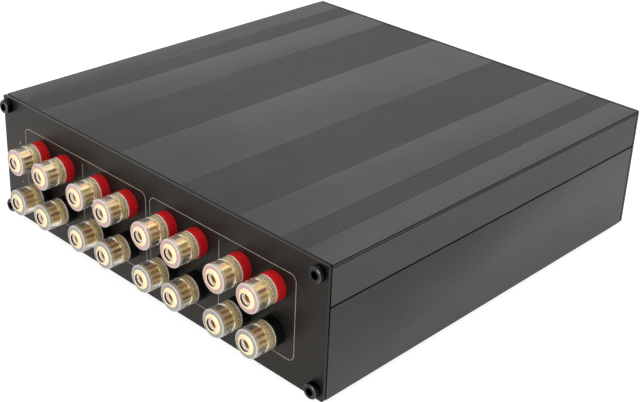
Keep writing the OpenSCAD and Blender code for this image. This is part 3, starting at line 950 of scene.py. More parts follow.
class Finish(Enum):
    """The finishes of the switch, by the maker's name for each."""

    RIBBED_SHELL = Anodised((0.023, 0.023, 0.0235), (0.029, 0.029, 0.0295), roughness=0.55, lines=0.15,
                            shaded_groove_top=58.87, side_skin=97.3)
    PLAIN_SHELL = Anodised((0.022, 0.022, 0.0225), (0.028, 0.028, 0.0285), roughness=0.52, lines=0.1,
                           side_skin=97.3)
    BACK_PANEL = Anodised((0.008, 0.0072, 0.0062), (0.011, 0.0098, 0.0085), roughness=0.4, lines=0.1,
                          index=1.31, metal=0.1, mirrored=(1.0, 0.9, 0.8))
    FRONT_PANEL = Anodised((0.021, 0.021, 0.0215), (0.026, 0.026, 0.0265), roughness=0.5, lines=0.1)
    # Screw marks: the knurled side and the socket painted in shade, the chamfer and the socket's mouth
    # lighter, as wear and as a painted highlight
    BLACK_OXIDE = TurnedMetal((0.2, 0.2, 0.2), (0.15, 0.15, 0.15), roughness=0.24, rings=0.004, zones=(
        Zone(0.0, (0.04, 0.04, 0.04)), Zone(0.5, (0.14, 0.14, 0.14)), Zone(1.0, (0.45, 0.45, 0.45))))
    FOOT_RUBBER = Moulded((0.014, 0.014, 0.014), roughness=0.75, grain=0.02)
    RED_BASE = Moulded((0.46, 0.01, 0.012), roughness=0.34, grain=0.004, gloss=0.12)
    BLACK_BASE = Moulded((0.004, 0.004, 0.0043), roughness=0.34, grain=0.004, gloss=0.15)
    GILT = TurnedMetal((0.95, 0.84, 0.58), (0.92, 0.78, 0.49), roughness=0.1, rings=0.003, zones=(
        Zone(0.0, (1.05, 1.04, 0.95), 0.45, 0.28), Zone(NOSE, (0.82, 0.78, 0.72), 0.45, 0.28),
        # The flats: light zones are painted highlights, dark zones painted shade, standing in for reflections
        Zone(0.02, (1.0, 1.0, 0.85), 0.45, 0.28), Zone(0.03, (1.04, 1.06, 0.92), 0.45, 0.28),
        Zone(0.1, (0.98, 0.9, 0.6), 0.45, 0.28), Zone(0.14, (0.6, 0.44, 0.14), 0.5, 0.18),
        Zone(0.19, (0.62, 0.25, 0.02), 0.55, 0.1), Zone(FLATS, (0.26, 0.08, 0.008), 0.5, 0.1),
        # The ring, then the knurl: its crests painted lighter as a highlight, its roots painted in shade
        Zone(RING, (1.05, 1.08, 0.95), 0.35, 0.2), Zone(KNURL_CREST, (1.05, 1.14, 1.2), 0.2, 0.3),
        Zone(0.42, (1.05, 1.1, 1.0), 0.15, 0.35), Zone(0.6, (0.8, 0.55, 0.17), 0.1, 0.35),
        Zone(KNURL_ROOT, (0.14, 0.07, 0.01), 0.1, 0.35),
        Zone(LIT_LIP, (1.05, 1.18, 1.7), 0.0, 0.3), Zone(MOUTH_SHADE, (0.03, 0.025, 0.02), 0.0, 0.3)))
    SOCKET_BRASS = StudMetal((0.92, 0.52, 0.15), (0.84, 0.43, 0.1), end=(0.98, 0.95, 0.9), roughness=0.45)
    SLEEVE_ON_RED = ClearPlastic((1.0, 0.945, 0.81), roughness=0.09, clear=0.93, ground_glow=(0.64, 0.39, 0.37))
    SLEEVE_ON_BLACK = ClearPlastic((1.0, 0.94, 0.8), roughness=0.09, clear=0.935, ground_glow=(0.36, 0.34, 0.31))
    WASHER_PLASTIC = Moulded((0.012, 0.012, 0.013), roughness=0.5, grain=0.006)
    PLAIN_BRASS = TurnedMetal((0.7, 0.5, 0.24), (0.55, 0.37, 0.16), roughness=0.3, rings=0.004)
    CIRCUIT_BOARD = Laminate((0.015, 0.1, 0.04), (0.03, 0.16, 0.07), roughness=0.35)
    COPPER = TurnedMetal((0.78, 0.38, 0.22), (0.6, 0.26, 0.14), roughness=0.32, rings=0.003)
    SWITCH_PLASTIC = Moulded((0.02, 0.02, 0.023), roughness=0.45, grain=0.006)
    WAFER = Laminate((0.2, 0.1, 0.035), (0.3, 0.16, 0.06), roughness=0.55)
    ROTOR = Moulded((0.6, 0.56, 0.46), roughness=0.45, grain=0.005)
    STEEL = TurnedMetal((0.62, 0.63, 0.65), (0.5, 0.51, 0.53), roughness=0.26, rings=0.004)
    KNOB = Anodised((0.02, 0.02, 0.021), (0.026, 0.026, 0.027), roughness=0.36, lines=0.2, index=1.5)
    INK = PrintedInk((0.36, 0.33, 0.29), (0.2, 0.18, 0.155))
    POINTER_PAINT = PrintedInk((0.78, 0.78, 0.76), (0.6, 0.6, 0.58))


class PaintShop:
    """Makes each finish once and puts it on pieces."""

    def __init__(self) -> None:
        """Starts with no material made."""
        self.made: dict[Finish, bpy.types.Material] = {}

    def dress(self, piece: bpy.types.Object, finish: Finish) -> None:
        """Gives a piece one finish in place of all that it has.

        Args:
            piece: the piece.
            finish: its finish.
        """
        if finish not in self.made:
            self.made[finish] = finish.value.material(finish.name.lower())
        piece.data.materials.clear()
        piece.data.materials.append(self.made[finish])

    def dress_node(self, node: str, finish: Finish) -> None:
        """Gives a CAD node one finish."""
        self.dress(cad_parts[node], finish)
        log.info("finished %s with %s", node, finish.name.lower())

    def fit(self, piece: bpy.types.Object, finish: Finish, body: str, slot: str,
            replaced: Sequence[str] = ()) -> None:
        """Finishes a new piece and fits it to the frame.

        Args:
            piece: the piece.
            finish: its finish.
            body: the body that it rides on.
            slot: its slot's name; not used.
            replaced: the CAD nodes that it stands for.
        """
        self.dress(piece, finish)
        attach(piece, body)
        if replaced:
            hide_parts(*replaced)
        log.info("made %s on %s, %d vertices", piece.name, body, len(piece.data.vertices))


def node_span(node: str) -> tuple[np.ndarray, np.ndarray]:
    """A CAD node's lowest and highest corners in millimetres."""
    low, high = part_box(node)
    return np.array(low) / MM, np.array(high) / MM


# Sub-assemblies


@dataclass
class Enclosure:
    """The two shells, the two end panels, the printing on the back panel and the feet.

    Heights of the printing are counted from the panel's lower edge, and places across it from its
    left side, seen from behind.

    Attributes:
        paint: where finishes come from.
        shell_break: width of the broken edges of the shells.
        panel_break: width of the broken edges of the panels.
        ink_width: width of a printed line.
        ink_thickness: height of the ink on the panel.
        frame_low: height of the printed frames' lower edge.
        frame_high: height of their upper edge.
        frame_radius: radius of their corners.
        frames: each frame's left and right edge.
        dividers: places of the lines inside the frames.
        divider_low: height of a divider's lower end.
        divider_high: height of its upper end.
        sign_place: place of the middle of the polarity marks.
        sign_arm: half the length of their arms.
        sign_width: width of their lines.
        plus_height: height of the middle of the plus.
        minus_height: height of the minus.
        foot_radius: a foot's radius at its top.
        foot_taper: how much smaller its underside's radius is.
        recess_radius: radius of the recess for its screw.
        recess_depth: the recess's depth.
    """

    paint: PaintShop
    shell_break: float = 0.12
    panel_break: float = 0.22
    ink_width: float = 0.24
    ink_thickness: float = 0.02
    frame_low: float = 9.36
    frame_high: float = 45.4
    frame_radius: float = 3.0
    frames: tuple[tuple[float, float], ...] = ((15.5, 97.15), (99.65, 180.0))
    dividers: tuple[float, ...] = (56.2, 139.8)
    divider_low: float = 15.4
    divider_high: float = 42.95
    sign_place: float = 11.0
    sign_arm: float = 0.75
    sign_width: float = 0.3
    plus_height: float = 36.5
    minus_height: float = 17.7
    foot_radius: float = 6.0
    foot_taper: float = 0.8
    recess_radius: float = 2.2
    recess_depth: float = 0.8

    def build(self) -> None:
        """Makes and dresses every piece of the enclosure."""
        self.shells()
        self.panels()
        self.printing()
        self.feet()

    def shells(self) -> None:
        """The shells with their sharp edges broken."""
        for node, finish, slot in (("top_shell", Finish.RIBBED_SHELL, "ribbed_shell"),
                                   ("bottom_shell", Finish.PLAIN_SHELL, "plain_shell")):
            piece = bevelled_copy(node, node + "_broken_edges", self.shell_break, segments=1, angle=40.0,
                                  smooth=40.0)
            self.paint.fit(piece, finish, "root", slot, [node])

    def panels(self) -> None:
        """The end panels with their edges broken on both faces."""
        for node, finish in (("rear_panel", Finish.BACK_PANEL), ("front_panel", Finish.FRONT_PANEL)):
            piece = bevelled_copy(node, node + "_broken_edges", self.panel_break, segments=2, angle=60.0,
                                  smooth=15.0)
            self.paint.fit(piece, finish, "root", "end_panel", [node])

    def printing(self) -> None:
        """The two round-cornered frames, their dividers and the polarity marks beside the rows."""
        left, face, floor = node_span("rear_panel")[0]

        def line(path: Sequence, width: float = self.ink_width, closed: bool = False) -> Surface:
            """One printed line, given from the panel's lower left corner."""
            points = np.array(path, float) + (left, floor)
            return strip(points, width, self.ink_thickness, face, -1, closed)

        frames = [line(frame_path(x0, x1, self.frame_low, self.frame_high, self.frame_radius), closed=True)
                  for x0, x1 in self.frames]
        dividers = [line([(x, self.divider_low), (x, self.divider_high)]) for x in self.dividers]
        x, arm = self.sign_place, self.sign_arm
        plus, minus = self.plus_height, self.minus_height
        arms = [[(x - arm, plus), (x + arm, plus)], [(x, plus - arm), (x, plus + arm)],
                [(x - arm, minus), (x + arm, minus)]]
        signs = [line(ends, self.sign_width) for ends in arms]
        for name, lines in (("printed_frames", frames + dividers), ("printed_polarity", signs)):
            self.paint.fit(mesh_object(name, *joined(lines)), Finish.INK, "root", "end_panel")

    def feet(self) -> None:
        """Four tapered feet with rounded lower edges and a shallow recess for a screw."""
        low, high = node_span("rubber_feet")
        radius = self.foot_radius
        feet = [self.foot(x, y, low[2], high[2] - low[2]) for x in (low[0] + radius, high[0] - radius)
                for y in (low[1] + radius, high[1] - radius)]
        piece = mesh_object("moulded_feet", *joined(feet))
        self.paint.fit(piece, Finish.FOOT_RUBBER, "root", "foot_rubber", ["rubber_feet"])

    def foot(self, x: float, y: float, z: float, tall: float, segments: int = 48) -> Surface:
        """A turned foot: (x + r cos a, y + r sin a, z + s), dished by a cosine within the recess.

        Args:
            x: its middle across the case.
            y: its middle along the case.
            z: its underside's height.
            tall: how tall it is.
            segments: points round it.

        Returns:
            The points and the faces of the foot.
        """
        outline = rounded([(0.001, 0.01, 0), (0.001, self.foot_radius - self.foot_taper, 0.5),
                           (tall, self.foot_radius, 0.1), (tall, 0.01, 0)])
        angle = np.arange(segments) * TURN / segments
        inner = np.linspace(0.02, 1, 6)
        dish = self.recess_depth * (1 + np.cos(math.pi * inner)) / 2
        radii = np.concatenate([self.recess_radius * inner, outline[1:, 1]])
        heights = np.concatenate([dish, outline[1:, 0]])
        grid = np.stack([x + radii[:, None] * np.cos(angle), y + radii[:, None] * np.sin(angle),
                         z + np.broadcast_to(heights[:, None], (len(radii), segments))], -1)
        faces = grid_faces(len(radii), segments, False, True).tolist()
        first = list(range(segments))[::-1]
        last = [(len(radii) - 1) * segments + k for k in range(segments)]
        return grid.reshape(-1, 3), faces + [first, last]


@dataclass
class PanelScrews:
    """The screws of the end panels: socket heads on the back, countersunk flat heads in front.

    Attributes:
        paint: where finishes come from.
        radius: a socket head's radius.
        height: its height.
        chamfer: the break round its outer edge.
        knurl: teeth round its side.
        knurl_depth: their depth.
        socket: width across the flats of its hexagon.
        socket_depth: the hexagon's depth.
        flat_radius: a flat head's radius.
        flat_depth: the depth of its cone.
        flat_socket: width across the flats of its hexagon.
        flat_socket_depth: the hexagon's depth.
        shank_radius: either screw's radius behind its head.
        point_depth: the depth of the drill point in either hexagon.
        point_width: the drill point's width, as a share of the hexagon's.
        point_radius: the radius of its end.
    """

    paint: PaintShop
    radius: float = 3.1
    height: float = 3.0
    chamfer: float = 0.42
    knurl: int = 48
    knurl_depth: float = 0.09
    socket: float = 2.9
    socket_depth: float = 1.6
    flat_radius: float = 2.7
    flat_depth: float = 1.2
    flat_socket: float = 2.0
    flat_socket_depth: float = 1.0
    shank_radius: float = 1.5
    point_depth: float = 0.3
    point_width: float = 0.85
    point_radius: float = 0.08

    def build(self) -> None:
        """Makes the screws of each panel as one piece."""
        low, _ = node_span("rear_screws")
        self.four("rear_screws", self.radius, low[1] + self.height, -1, self.socket_head)
        _, high = node_span("front_screws")
        self.four("front_screws", self.flat_radius, high[1], 1, self.flat_head)

    def four(self, node: str, radius: float, seat: float, outward: int,
             head: Callable[[Spindle], MarkedSurface]) -> None:
        """The four screws of one panel.

        Args:
            node: the CAD node that they stand for.
            radius: their heads' radius.
            seat: the Y that lengths along a screw are counted from.
            outward: -1 on the back panel, 1 on the front.
            head: makes one screw on a line, with the marks of its points.
        """
        low, high = node_span(node)
        heads = [head(Spindle(x, z, seat, outward)) for x in (low[0] + radius, high[0] - radius)
                 for z in (low[2] + radius, high[2] - radius)]
        surface = *joined([head[:2] for head in heads]), np.concatenate([head[2] for head in heads])
        piece = marked_object(node.replace("screws", "screw_heads"), surface, sharp=28.0)
        self.paint.fit(piece, Finish.BLACK_OXIDE, "root", "black_steel", [node])

    @staticmethod
    def turned_marks(line: Spindle, rows: Sequence[tuple], segments: int) -> MarkedSurface:
        """A capped turned surface.

        Args:
            line: the line that it is turned on.
            rows: each a place along the line, a radius as profile() takes it, and a mark.
            segments: points round each turn.

        Returns:
            The points and the faces of the surface, and each point's mark.
        """
        points, faces = line.capped(*profile(rows, segments), segments)
        marks = np.repeat([row[2] for row in rows], segments)
        return points, faces, np.append(marks, [rows[0][2], rows[-1][2]])

    def hexagon(self, width: float, segments: int) -> tuple[float, np.ndarray]:
        """The radius over a hexagon's corners, and its radii, for a width across its flats."""
        corner = width / 2 / math.cos(TURN / 12)
        return corner, polygon_radius(corner, 6, segments)

    def point(self, floor: float, hexagon: np.ndarray) -> list[tuple]:
        """Rows of the drill point in a hexagon's floor, which lies at a place along the screw."""
        return [(floor, hexagon, 0.0), (floor, hexagon * self.point_width, 0.0),
                (floor - self.point_depth, self.point_radius, 0.0)]

    def flat_head(self, line: Spindle, segments: int = 96) -> MarkedSurface:
        """A countersunk screw: shank, cone, flat face and hexagon socket with a drill point.

        The rows are as in socket_head, and lengths are counted from the flat face.

        Args:
            line: the screw's line.
            segments: points round it.

        Returns:
            The points and the faces of the screw, and each point's mark.
        """
        corner, hexagon = self.hexagon(self.flat_socket, segments)
        edge, mouth = self.flat_radius, corner + 0.08
        rows = [
            (-4.0, self.shank_radius, 0.0), (-self.flat_depth, self.shank_radius, 0.0),
            (-0.05, edge - 0.05, 0.2), (-0.01, edge - 0.06, 1.0), (0.0, edge - 0.12, 0.6),
            (0.0, mouth + 0.04, 0.5), (-0.03, mouth, 0.8), (-0.1, hexagon, 0.1),
        ]
        return self.turned_marks(line, rows + self.point(-self.flat_socket_depth, hexagon), segments)

    def socket_head(self, line: Spindle, segments: int = 192) -> MarkedSurface:
        """A head: knurled side, chamfer, flat ring, countersunk hexagon socket with a drill point.

        Each row is a place along the screw, a radius round it, which is a circle, a knurl or a
        hexagon, and a mark: low on the knurled side and in the socket, which are painted in shade, and high
        round the chamfer and the socket's mouth, which are lighter as wear and as a painted highlight.
        The small numbers beside the named sizes break the edges.

        Args:
            line: the screw's line.
            segments: points round it.

        Returns:
            The points and the faces of the screw, and each point's mark.
        """
        top, bevel = self.height, self.height - self.chamfer
        wave = toothed_radius(self.radius, self.knurl_depth, self.knurl, segments)
        plain = self.radius - self.knurl_depth
        corner, hexagon = self.hexagon(self.socket, segments)
        ring, mouth = plain - self.chamfer, corner + 0.12
        rows = [
            (-1.0, self.shank_radius, 0.0), (0.0, self.shank_radius, 0.0), (0.0, plain - 0.1, 0.0),
            (0.12, plain, 0.0), (0.2, wave, 0.0), (bevel - 0.14, wave, 0.0),
            (bevel - 0.06, plain, 0.2), (bevel, plain, 0.9), (top - 0.06, ring + 0.07, 1.0),
            (top, ring, 0.7), (top, ring - 0.12, 0.5), (top, mouth + 0.05, 0.5), (top - 0.03, mouth, 0.7),
            (top - 0.14, hexagon, 0.1),
        ]
        return self.turned_marks(line, rows + self.point(top - self.socket_depth, hexagon), segments)


@dataclass(frozen=True)
class PostRow:
    """One row of binding posts.

    Attributes:
        colour: the colour in its pieces' names.
        base: the finish of its bases.
        sleeve: the finish of its sleeves, whose front faces carry a painted glow of the bases' colour.
        turns: where each nut stopped, in degrees from its first corner's place.
    """

    colour: str
    base: Finish
    sleeve: Finish
    turns: tuple[int, ...]


@dataclass
class BindingPosts:
    """The sixteen binding posts: bases, studs, thumb nuts and clear sleeves.

    Attributes:
        paint: where finishes come from.
        rows: the upper row and the lower.
        base_radius: the coloured base's radius.
        base_height: its height on the panel.
        base_fillet: the round of its outer edge.
        base_bore: the hole that the stud fills.
        sleeve_radius: the sleeve's radius.
        sleeve_start: its rear end's distance from the panel.
        sleeve_end: its front end's distance from the panel.
        sleeve_bore: the bore round the nut's barrel.
        sleeve_shoulder: where the wider bore round the flange ends.
        flange_bore: the wider bore.
        polish_start: how far from the sleeve's rear end its polished bore begins.
        polish_end: how far from its front end the polished bore ends.
        polish_radius: the radius that the polished bore stays under.
        nut_start: the flange's rear face.
        flange_radius: the knurled flange's radius.
        flange_end: the flange's front face.
        teeth: teeth round the flange.
        tooth_depth: their depth.
        ring_radius: the plain ring's radius.
        ring_end: its front face.
        barrel_radius: radius over the barrel's corners and of the collar.
        barrel_sides: the barrel's flats.
        collar_start: the collar's rear edge.
        nut_bore: the bore round the stud.
        nose_end: the end of the tapered nose in front of the sleeve.
        nose_radius: the nose's flat end's radius.
        mouth_radius: the open mouth's radius.
        lip_start: the rear face of the lip round the mouth.
        shade_end: where the mouth's wall that is painted in shade ends.
        face: the Y of the panel's outer face, from the frame.
        segments: points round a nut.
    """

    paint: PaintShop
    rows: tuple[PostRow, ...] = (
        PostRow("red", Finish.RED_BASE, Finish.SLEEVE_ON_RED, (12, 19, 25, 14, 24, 27, 25, 21)),
        PostRow("black", Finish.BLACK_BASE, Finish.SLEEVE_ON_BLACK, (21, 5, 28, 8, 22, 10, 16, 24)))
    base_radius: float = 5.8
    base_height: float = 4.15
    base_fillet: float = 0.55
    base_bore: float = 2.9
    sleeve_radius: float = 5.75
    sleeve_start: float = 4.25
    sleeve_end: float = 13.75
    sleeve_bore: float = 3.98
    sleeve_shoulder: float = 7.5
    flange_bore: float = 5.2
    polish_start: float = 0.07
    polish_end: float = 0.05
    polish_radius: float = 5.3
    nut_start: float = 4.35
    flange_radius: float = 5.12
    flange_end: float = 6.3
    teeth: int = 36
    tooth_depth: float = 0.45
    ring_radius: float = 4.6
    ring_end: float = 7.2
    barrel_radius: float = 3.93
    barrel_sides: int = 12
    collar_start: float = 12.65
    nut_bore: float = 2.85
    nose_end: float = 14.55
    nose_radius: float = 3.0
    mouth_radius: float = 2.5
    lip_start: float = 13.05
    shade_end: float = 13.62
    face: float = field(init=False)
    segments: int = field(init=False)

    def __post_init__(self) -> None:
        """Takes the panel's outer face from the frame, and sets points at every tooth and corner."""
        self.face = node_span("rear_panel")[0][1]
        self.segments = self.teeth * self.barrel_sides

    def build(self) -> None:
        """Makes every post."""
        for row in self.rows:
            colour = row.colour
            lines = [self.spindle(f"{colour}_{n}") for n in range(1, len(row.turns) + 1)]
            bases = mesh_object(colour + "_moulded_bases", *joined([self.base(line) for line in lines]))
            self.paint.fit(bases, row.base, "root", colour + "_plastic", [colour + "_bases"])
            for n, (line, turn) in enumerate(zip(lines, row.turns), 1):
                tag = f"{colour}_{n}"
                nut = marked_object("gilt_nut_" + tag, self.nut(line, turn), sharp=14.0)
                self.paint.fit(nut, Finish.GILT, "screw_" + tag, "gilt_brass", ["nut_" + tag])
                sleeve = marked_object("clear_grip_" + tag, self.sleeve(line))
                self.paint.fit(sleeve, row.sleeve, "slide_" + tag, "clear_sleeve", ["sleeve_" + tag])
        self.paint.dress_node("post_studs", Finish.SOCKET_BRASS)

    def spindle(self, tag: str) -> Spindle:
        """The line of one post, from its sleeve's place in the frame."""
        low, high = node_span("sleeve_" + tag)
        return Spindle((low[0] + high[0]) / 2, (low[2] + high[2]) / 2, self.face, -1)

    def base(self, line: Spindle, segments: int = 64) -> Surface:
        """A base: a short round collar with a rounded outer edge.

        Args:
            line: the post's line.
            segments: points round the base.

        Returns:
            The points and the quads of the base.
        """
        outline = rounded([(0.0, self.base_bore, 0), (0.0, self.base_radius, 0.1),
                           (self.base_height, self.base_radius, self.base_fillet),
                           (self.base_height, self.base_bore, 0.1)], 6)
        return line.turned(outline[:, 0], outline[:, 1], segments)

    def sleeve(self, line: Spindle, segments: int = 96) -> MarkedSurface:
        """A clear sleeve, wide inside round the flange and narrow round the barrel.

        Args:
            line: the post's line.
            segments: points round the sleeve.

        Returns:
            The points and the quads of the sleeve, and each point's mark.
        """
        start, end, shoulder = self.sleeve_start, self.sleeve_end, self.sleeve_shoulder
        along, radius = rounded([
            (start, self.flange_bore, 0.08), (start, self.sleeve_radius, 0.22),
            (end, self.sleeve_radius, 0.6), (end, self.sleeve_bore, 0.06),
            (shoulder, self.sleeve_bore, 0.06), (shoulder, self.flange_bore, 0.25)], 6).T
        places = (along - start) / (end - start)
        polished = (along > start + self.polish_start) & (along < end - self.polish_end)
        places[polished & (radius < self.polish_radius)] = BORE
        return *line.turned(along, radius, segments), np.repeat(places, segments)

    def moved(self, turn: int) -> int:
        """By how many points a turn in degrees moves a nut."""
        return round(turn / 360 * self.segments)

    def nut(self, line: Spindle, turn: int) -> MarkedSurface:
        """A thumb nut: knurled flange, plain ring, many-sided barrel, collar and tapered nose with its lip.

        Each row is a place along the post and a radius round it, which is a circle, a toothed
        circle or a polygon. The small numbers beside the named sizes break the edges.

        Args:
            line: the post's line.
            turn: how far the nut is turned from its first corner's place, in degrees.

        Returns:
            The points and the quads of the nut, and each point's mark.
        """
        teeth = toothed_radius(self.flange_radius, self.tooth_depth, self.teeth, self.segments)
        flats = polygon_radius(self.barrel_radius, self.barrel_sides, self.segments)
        knurl, barrel = (np.roll(radii, self.moved(turn)) for radii in (teeth, flats))
        root = self.flange_radius - self.tooth_depth
        knurl_edge = np.minimum(knurl, root + 0.02) - 0.1
        rows = [
            (self.nut_start, self.nut_bore), (self.nut_start, root - 0.25), (self.nut_start, knurl_edge),
            (self.nut_start + 0.1, knurl), (self.flange_end - 0.15, knurl), (self.flange_end, knurl_edge),
            (self.flange_end, self.ring_radius - 0.12), (self.flange_end + 0.12, self.ring_radius),
            (self.ring_end - 0.15, self.ring_radius), (self.ring_end, self.ring_radius - 0.15),
            (self.ring_end, barrel + 0.01), (self.ring_end + 0.05, barrel),
            (self.collar_start - 0.2, barrel), (self.collar_start, self.barrel_radius),
            (self.sleeve_end, self.barrel_radius), (self.nose_end - 0.08, self.nose_radius + 0.09),
            (self.nose_end, self.nose_radius - 0.02), (self.nose_end, self.mouth_radius + 0.1),
            (self.nose_end - 0.1, self.mouth_radius), (self.shade_end, self.mouth_radius),
            (self.shade_end - 0.05, self.mouth_radius), (self.lip_start, self.mouth_radius),
            (self.lip_start, self.nut_bore),
        ]
        along, radius = profile(rows, self.segments)
        return *line.turned(along, radius, self.segments), self.nut_marks(along, radius, turn).ravel()

    def nut_marks(self, along: np.ndarray, radius: np.ndarray, turn: int) -> np.ndarray:
        """The marks of a nut's points.

        Each flat has a painted highlight half and a painted shade half, standing in for reflections; their
        marks are drawn for each nut.

        Args:
            along: (n,) places along the post.
            radius: (n, segments) radii at those places.
            turn: how far the nut is turned, in degrees, which is also the seed of what is drawn.

        Returns:
            The (n, segments) marks.
        """
        # The knurl's marks grow with depth, for painted highlights on its crests and painted shade in its
        # roots
        knurled = (along > self.nut_start) & (along < self.flange_end) & (radius.max(1) > self.ring_radius)
        depth = np.clip((self.flange_radius - radius) / self.tooth_depth, 0, 1)
        marks = (KNURL_CREST + (KNURL_ROOT - KNURL_CREST) * depth) * knurled[:, None]
        marks[(along >= self.flange_end) & (along <= self.ring_end) & ~knurled] = RING
        lowest, highest = zip(PAINTED_HIGHLIGHT_HALF, PAINTED_SHADE_HALF)
        halves = np.random.default_rng(turn).uniform(lowest, highest, (self.barrel_sides, 2)).ravel()
        on_flats = (along > self.ring_end) & (along < self.collar_start)
        marks[on_flats] = np.roll(np.repeat(halves, self.segments // len(halves)), self.moved(turn))
        marks[(along > self.sleeve_end) & (radius.max(1) > self.mouth_radius)] = NOSE
        in_mouth = (along >= self.lip_start) & (radius.max(1) <= self.mouth_radius)
        marks[in_mouth] = np.where(along[in_mouth] >= self.shade_end, MOUTH_SHADE, LIT_LIP)[:, None]
        return marks


@dataclass
class Selectors:
    """The two rotary selectors: their knobs, the dial marks on the front panel and what turns inside.

    Attributes:
        paint: where finishes come from.
        knob_break: width of the broken edges of the knobs.
        pointer_inner: distance from the shaft to the pointer line's inner end.
        pointer_outer: distance to its outer end.
        pointer_width: its width.
        pointer_thickness: the thickness of its paint.
        pointer_depth: how deep under the knob's end it lies.
        positions: the dial's numbers.
        step: degrees from one position to the next.
        dial_radius: distance from the shaft to a number's middle.
        tick_inner: distance from the shaft to a tick's inner end.
        tick_outer: distance to its outer end.
        tick_width: its width.
        ink_thickness: height of the ink on the panel.
        digit_height: height of the numbers.
        type_size: size of the numbers' type for a height of 1.
    """

    paint: PaintShop
    knob_break: float = 0.12
    pointer_inner: float = 3.4
    pointer_outer: float = 9.0
    pointer_width: float = 1.05
    pointer_thickness: float = 0.25
    pointer_depth: float = 0.36
    positions: int = 3
    step: float = 30.0
    dial_radius: float = 17.4
    tick_inner: float = 12.2
    tick_outer: float = 14.4
    tick_width: float = 0.5
    ink_thickness: float = 0.02
    digit_height: float = 3.6
    type_size: float = 1.4

    def build(self) -> None:
        """Makes the dials and dresses the knobs and inner pieces."""
        for side in ("left", "right"):
            knob = bevelled_copy("knob_" + side, "turned_knob_" + side, self.knob_break, segments=1)
            self.paint.fit(knob, Finish.KNOB, "selector_" + side, "knob_aluminium", ["knob_" + side])
            self.pointer(side)
            self.dial(side)
            for part, finish in (("shaft_", Finish.STEEL), ("rotor_", Finish.ROTOR),
                                 ("housing_", Finish.SWITCH_PLASTIC), ("wafer_", Finish.WAFER)):
                self.paint.dress_node(part + side, finish)
        for node in ("bushing_nuts", "bushing_washers"):
            self.paint.dress_node(node, Finish.STEEL)

    def middle(self, side: str) -> Triple:
        """The knob's axis across and up, and the Y of its outer end."""
        low, high = node_span("knob_" + side)
        return (low[0] + high[0]) / 2, (low[2] + high[2]) / 2, high[1]

    def pointer(self, side: str) -> None:
        """The painted line in the knob's pointer groove.

        Args:
            side: which of the two knobs.
        """
        x, z, end = self.middle(side)
        path = np.array([(x, z + self.pointer_inner), (x, z + self.pointer_outer)])
        surface = strip(path, self.pointer_width, self.pointer_thickness, end - self.pointer_depth, 1)
        piece = mesh_object("pointer_line_" + side, *surface)
        self.paint.fit(piece, Finish.POINTER_PAINT, "selector_" + side, "knob_aluminium")

    def dial(self, side: str) -> None:
        """Ticks and plain numbers round one knob, printed on the front panel.

        Args:
            side: which of the two knobs.
        """
        x, z, _ = self.middle(side)
        face = node_span("front_panel")[1][1]
        ticks = []
        for k in range(self.positions):
            angle = math.radians((k - (self.positions - 1) / 2) * self.step)
            # Seen from the front, +X is on the left, so the first number stands towards +X
            away = np.array([-math.sin(angle), math.cos(angle)])
            path = np.array([(x, z) + away * reach for reach in (self.tick_inner, self.tick_outer)])
            ticks.append(strip(path, self.tick_width, self.ink_thickness, face, 1))
            self.number(str(k + 1), f"dial_number_{side}_{k + 1}", (x, z) + away * self.dial_radius, face)
        piece = mesh_object("dial_ticks_" + side, *joined(ticks))
        self.paint.fit(piece, Finish.INK, "root", "end_panel")

    def number(self, digit: str, name: str, place: np.ndarray, face: float) -> None:
        """One printed number, centred on its place and read from the front.

        Args:
            digit: the number.
            name: the piece's name.
            place: its middle as (x, z).
            face: the Y of the panel's outer face.
        """
        half_ink, lift, merge_distance = 0.01, 0.011, 0.001
        curve = bpy.data.curves.new(name, "FONT")
        curve.body = digit
        curve.size = self.digit_height * MM * self.type_size
        curve.extrude = half_ink * MM
        curve.align_x, curve.align_y = "CENTER", "CENTER"
        written = placed(name, curve)
        mesh = final_mesh(written)
        bpy.data.objects.remove(written)
        work = bmesh.new()
        work.from_mesh(mesh)
        bmesh.ops.remove_doubles(work, verts=work.verts, dist=merge_distance * MM)
        bmesh.ops.recalc_face_normals(work, faces=work.faces)
        work.to_mesh(mesh)
        work.free()
        facing_front = Matrix(((-1, 0, 0), (0, 0, 1), (0, 1, 0))).to_4x4()
        mesh.transform(Matrix.Translation((place[0] * MM, (face + lift) * MM, place[1] * MM)) @ facing_front)
        self.paint.fit(placed(name, mesh), Finish.INK, "root", "end_panel")


@dataclass
class Inside:
    """The boards and small parts inside the case.

    Attributes:
        paint: where finishes come from.
    """

    paint: PaintShop

    def build(self) -> None:
        """Dresses each inner node."""
        for node, finish in (("inner_insulators", Finish.WASHER_PLASTIC), ("post_nuts", Finish.PLAIN_BRASS),
                             ("terminal_board", Finish.CIRCUIT_BOARD), ("main_board", Finish.CIRCUIT_BOARD),
                             ("board_links", Finish.COPPER)):
            self.paint.dress_node(node, finish)


@dataclass(frozen=True)
class Lamp:
    """A square soft lamp.

    Attributes:
        name: its name.
        place: where it hangs, in metres.
        target: what it points at, in metres.
        size: its side in metres.
        power: its power in watts.
    """

    name: str
    place: Triple
    target: Triple
    size: float
    power: float

    def hang(self) -> None:
        """Puts the lamp into the scene, turned to its target."""
        data = bpy.data.lights.new(self.name, "AREA")
        data.shape, data.size, data.energy = "SQUARE", self.size, self.power
        aim = Vector(self.target) - Vector(self.place)
        facing = aim.to_track_quat("-Z", "Y").to_matrix().to_4x4()
        placed(self.name, data).matrix_world = Matrix.Translation(self.place) @ facing


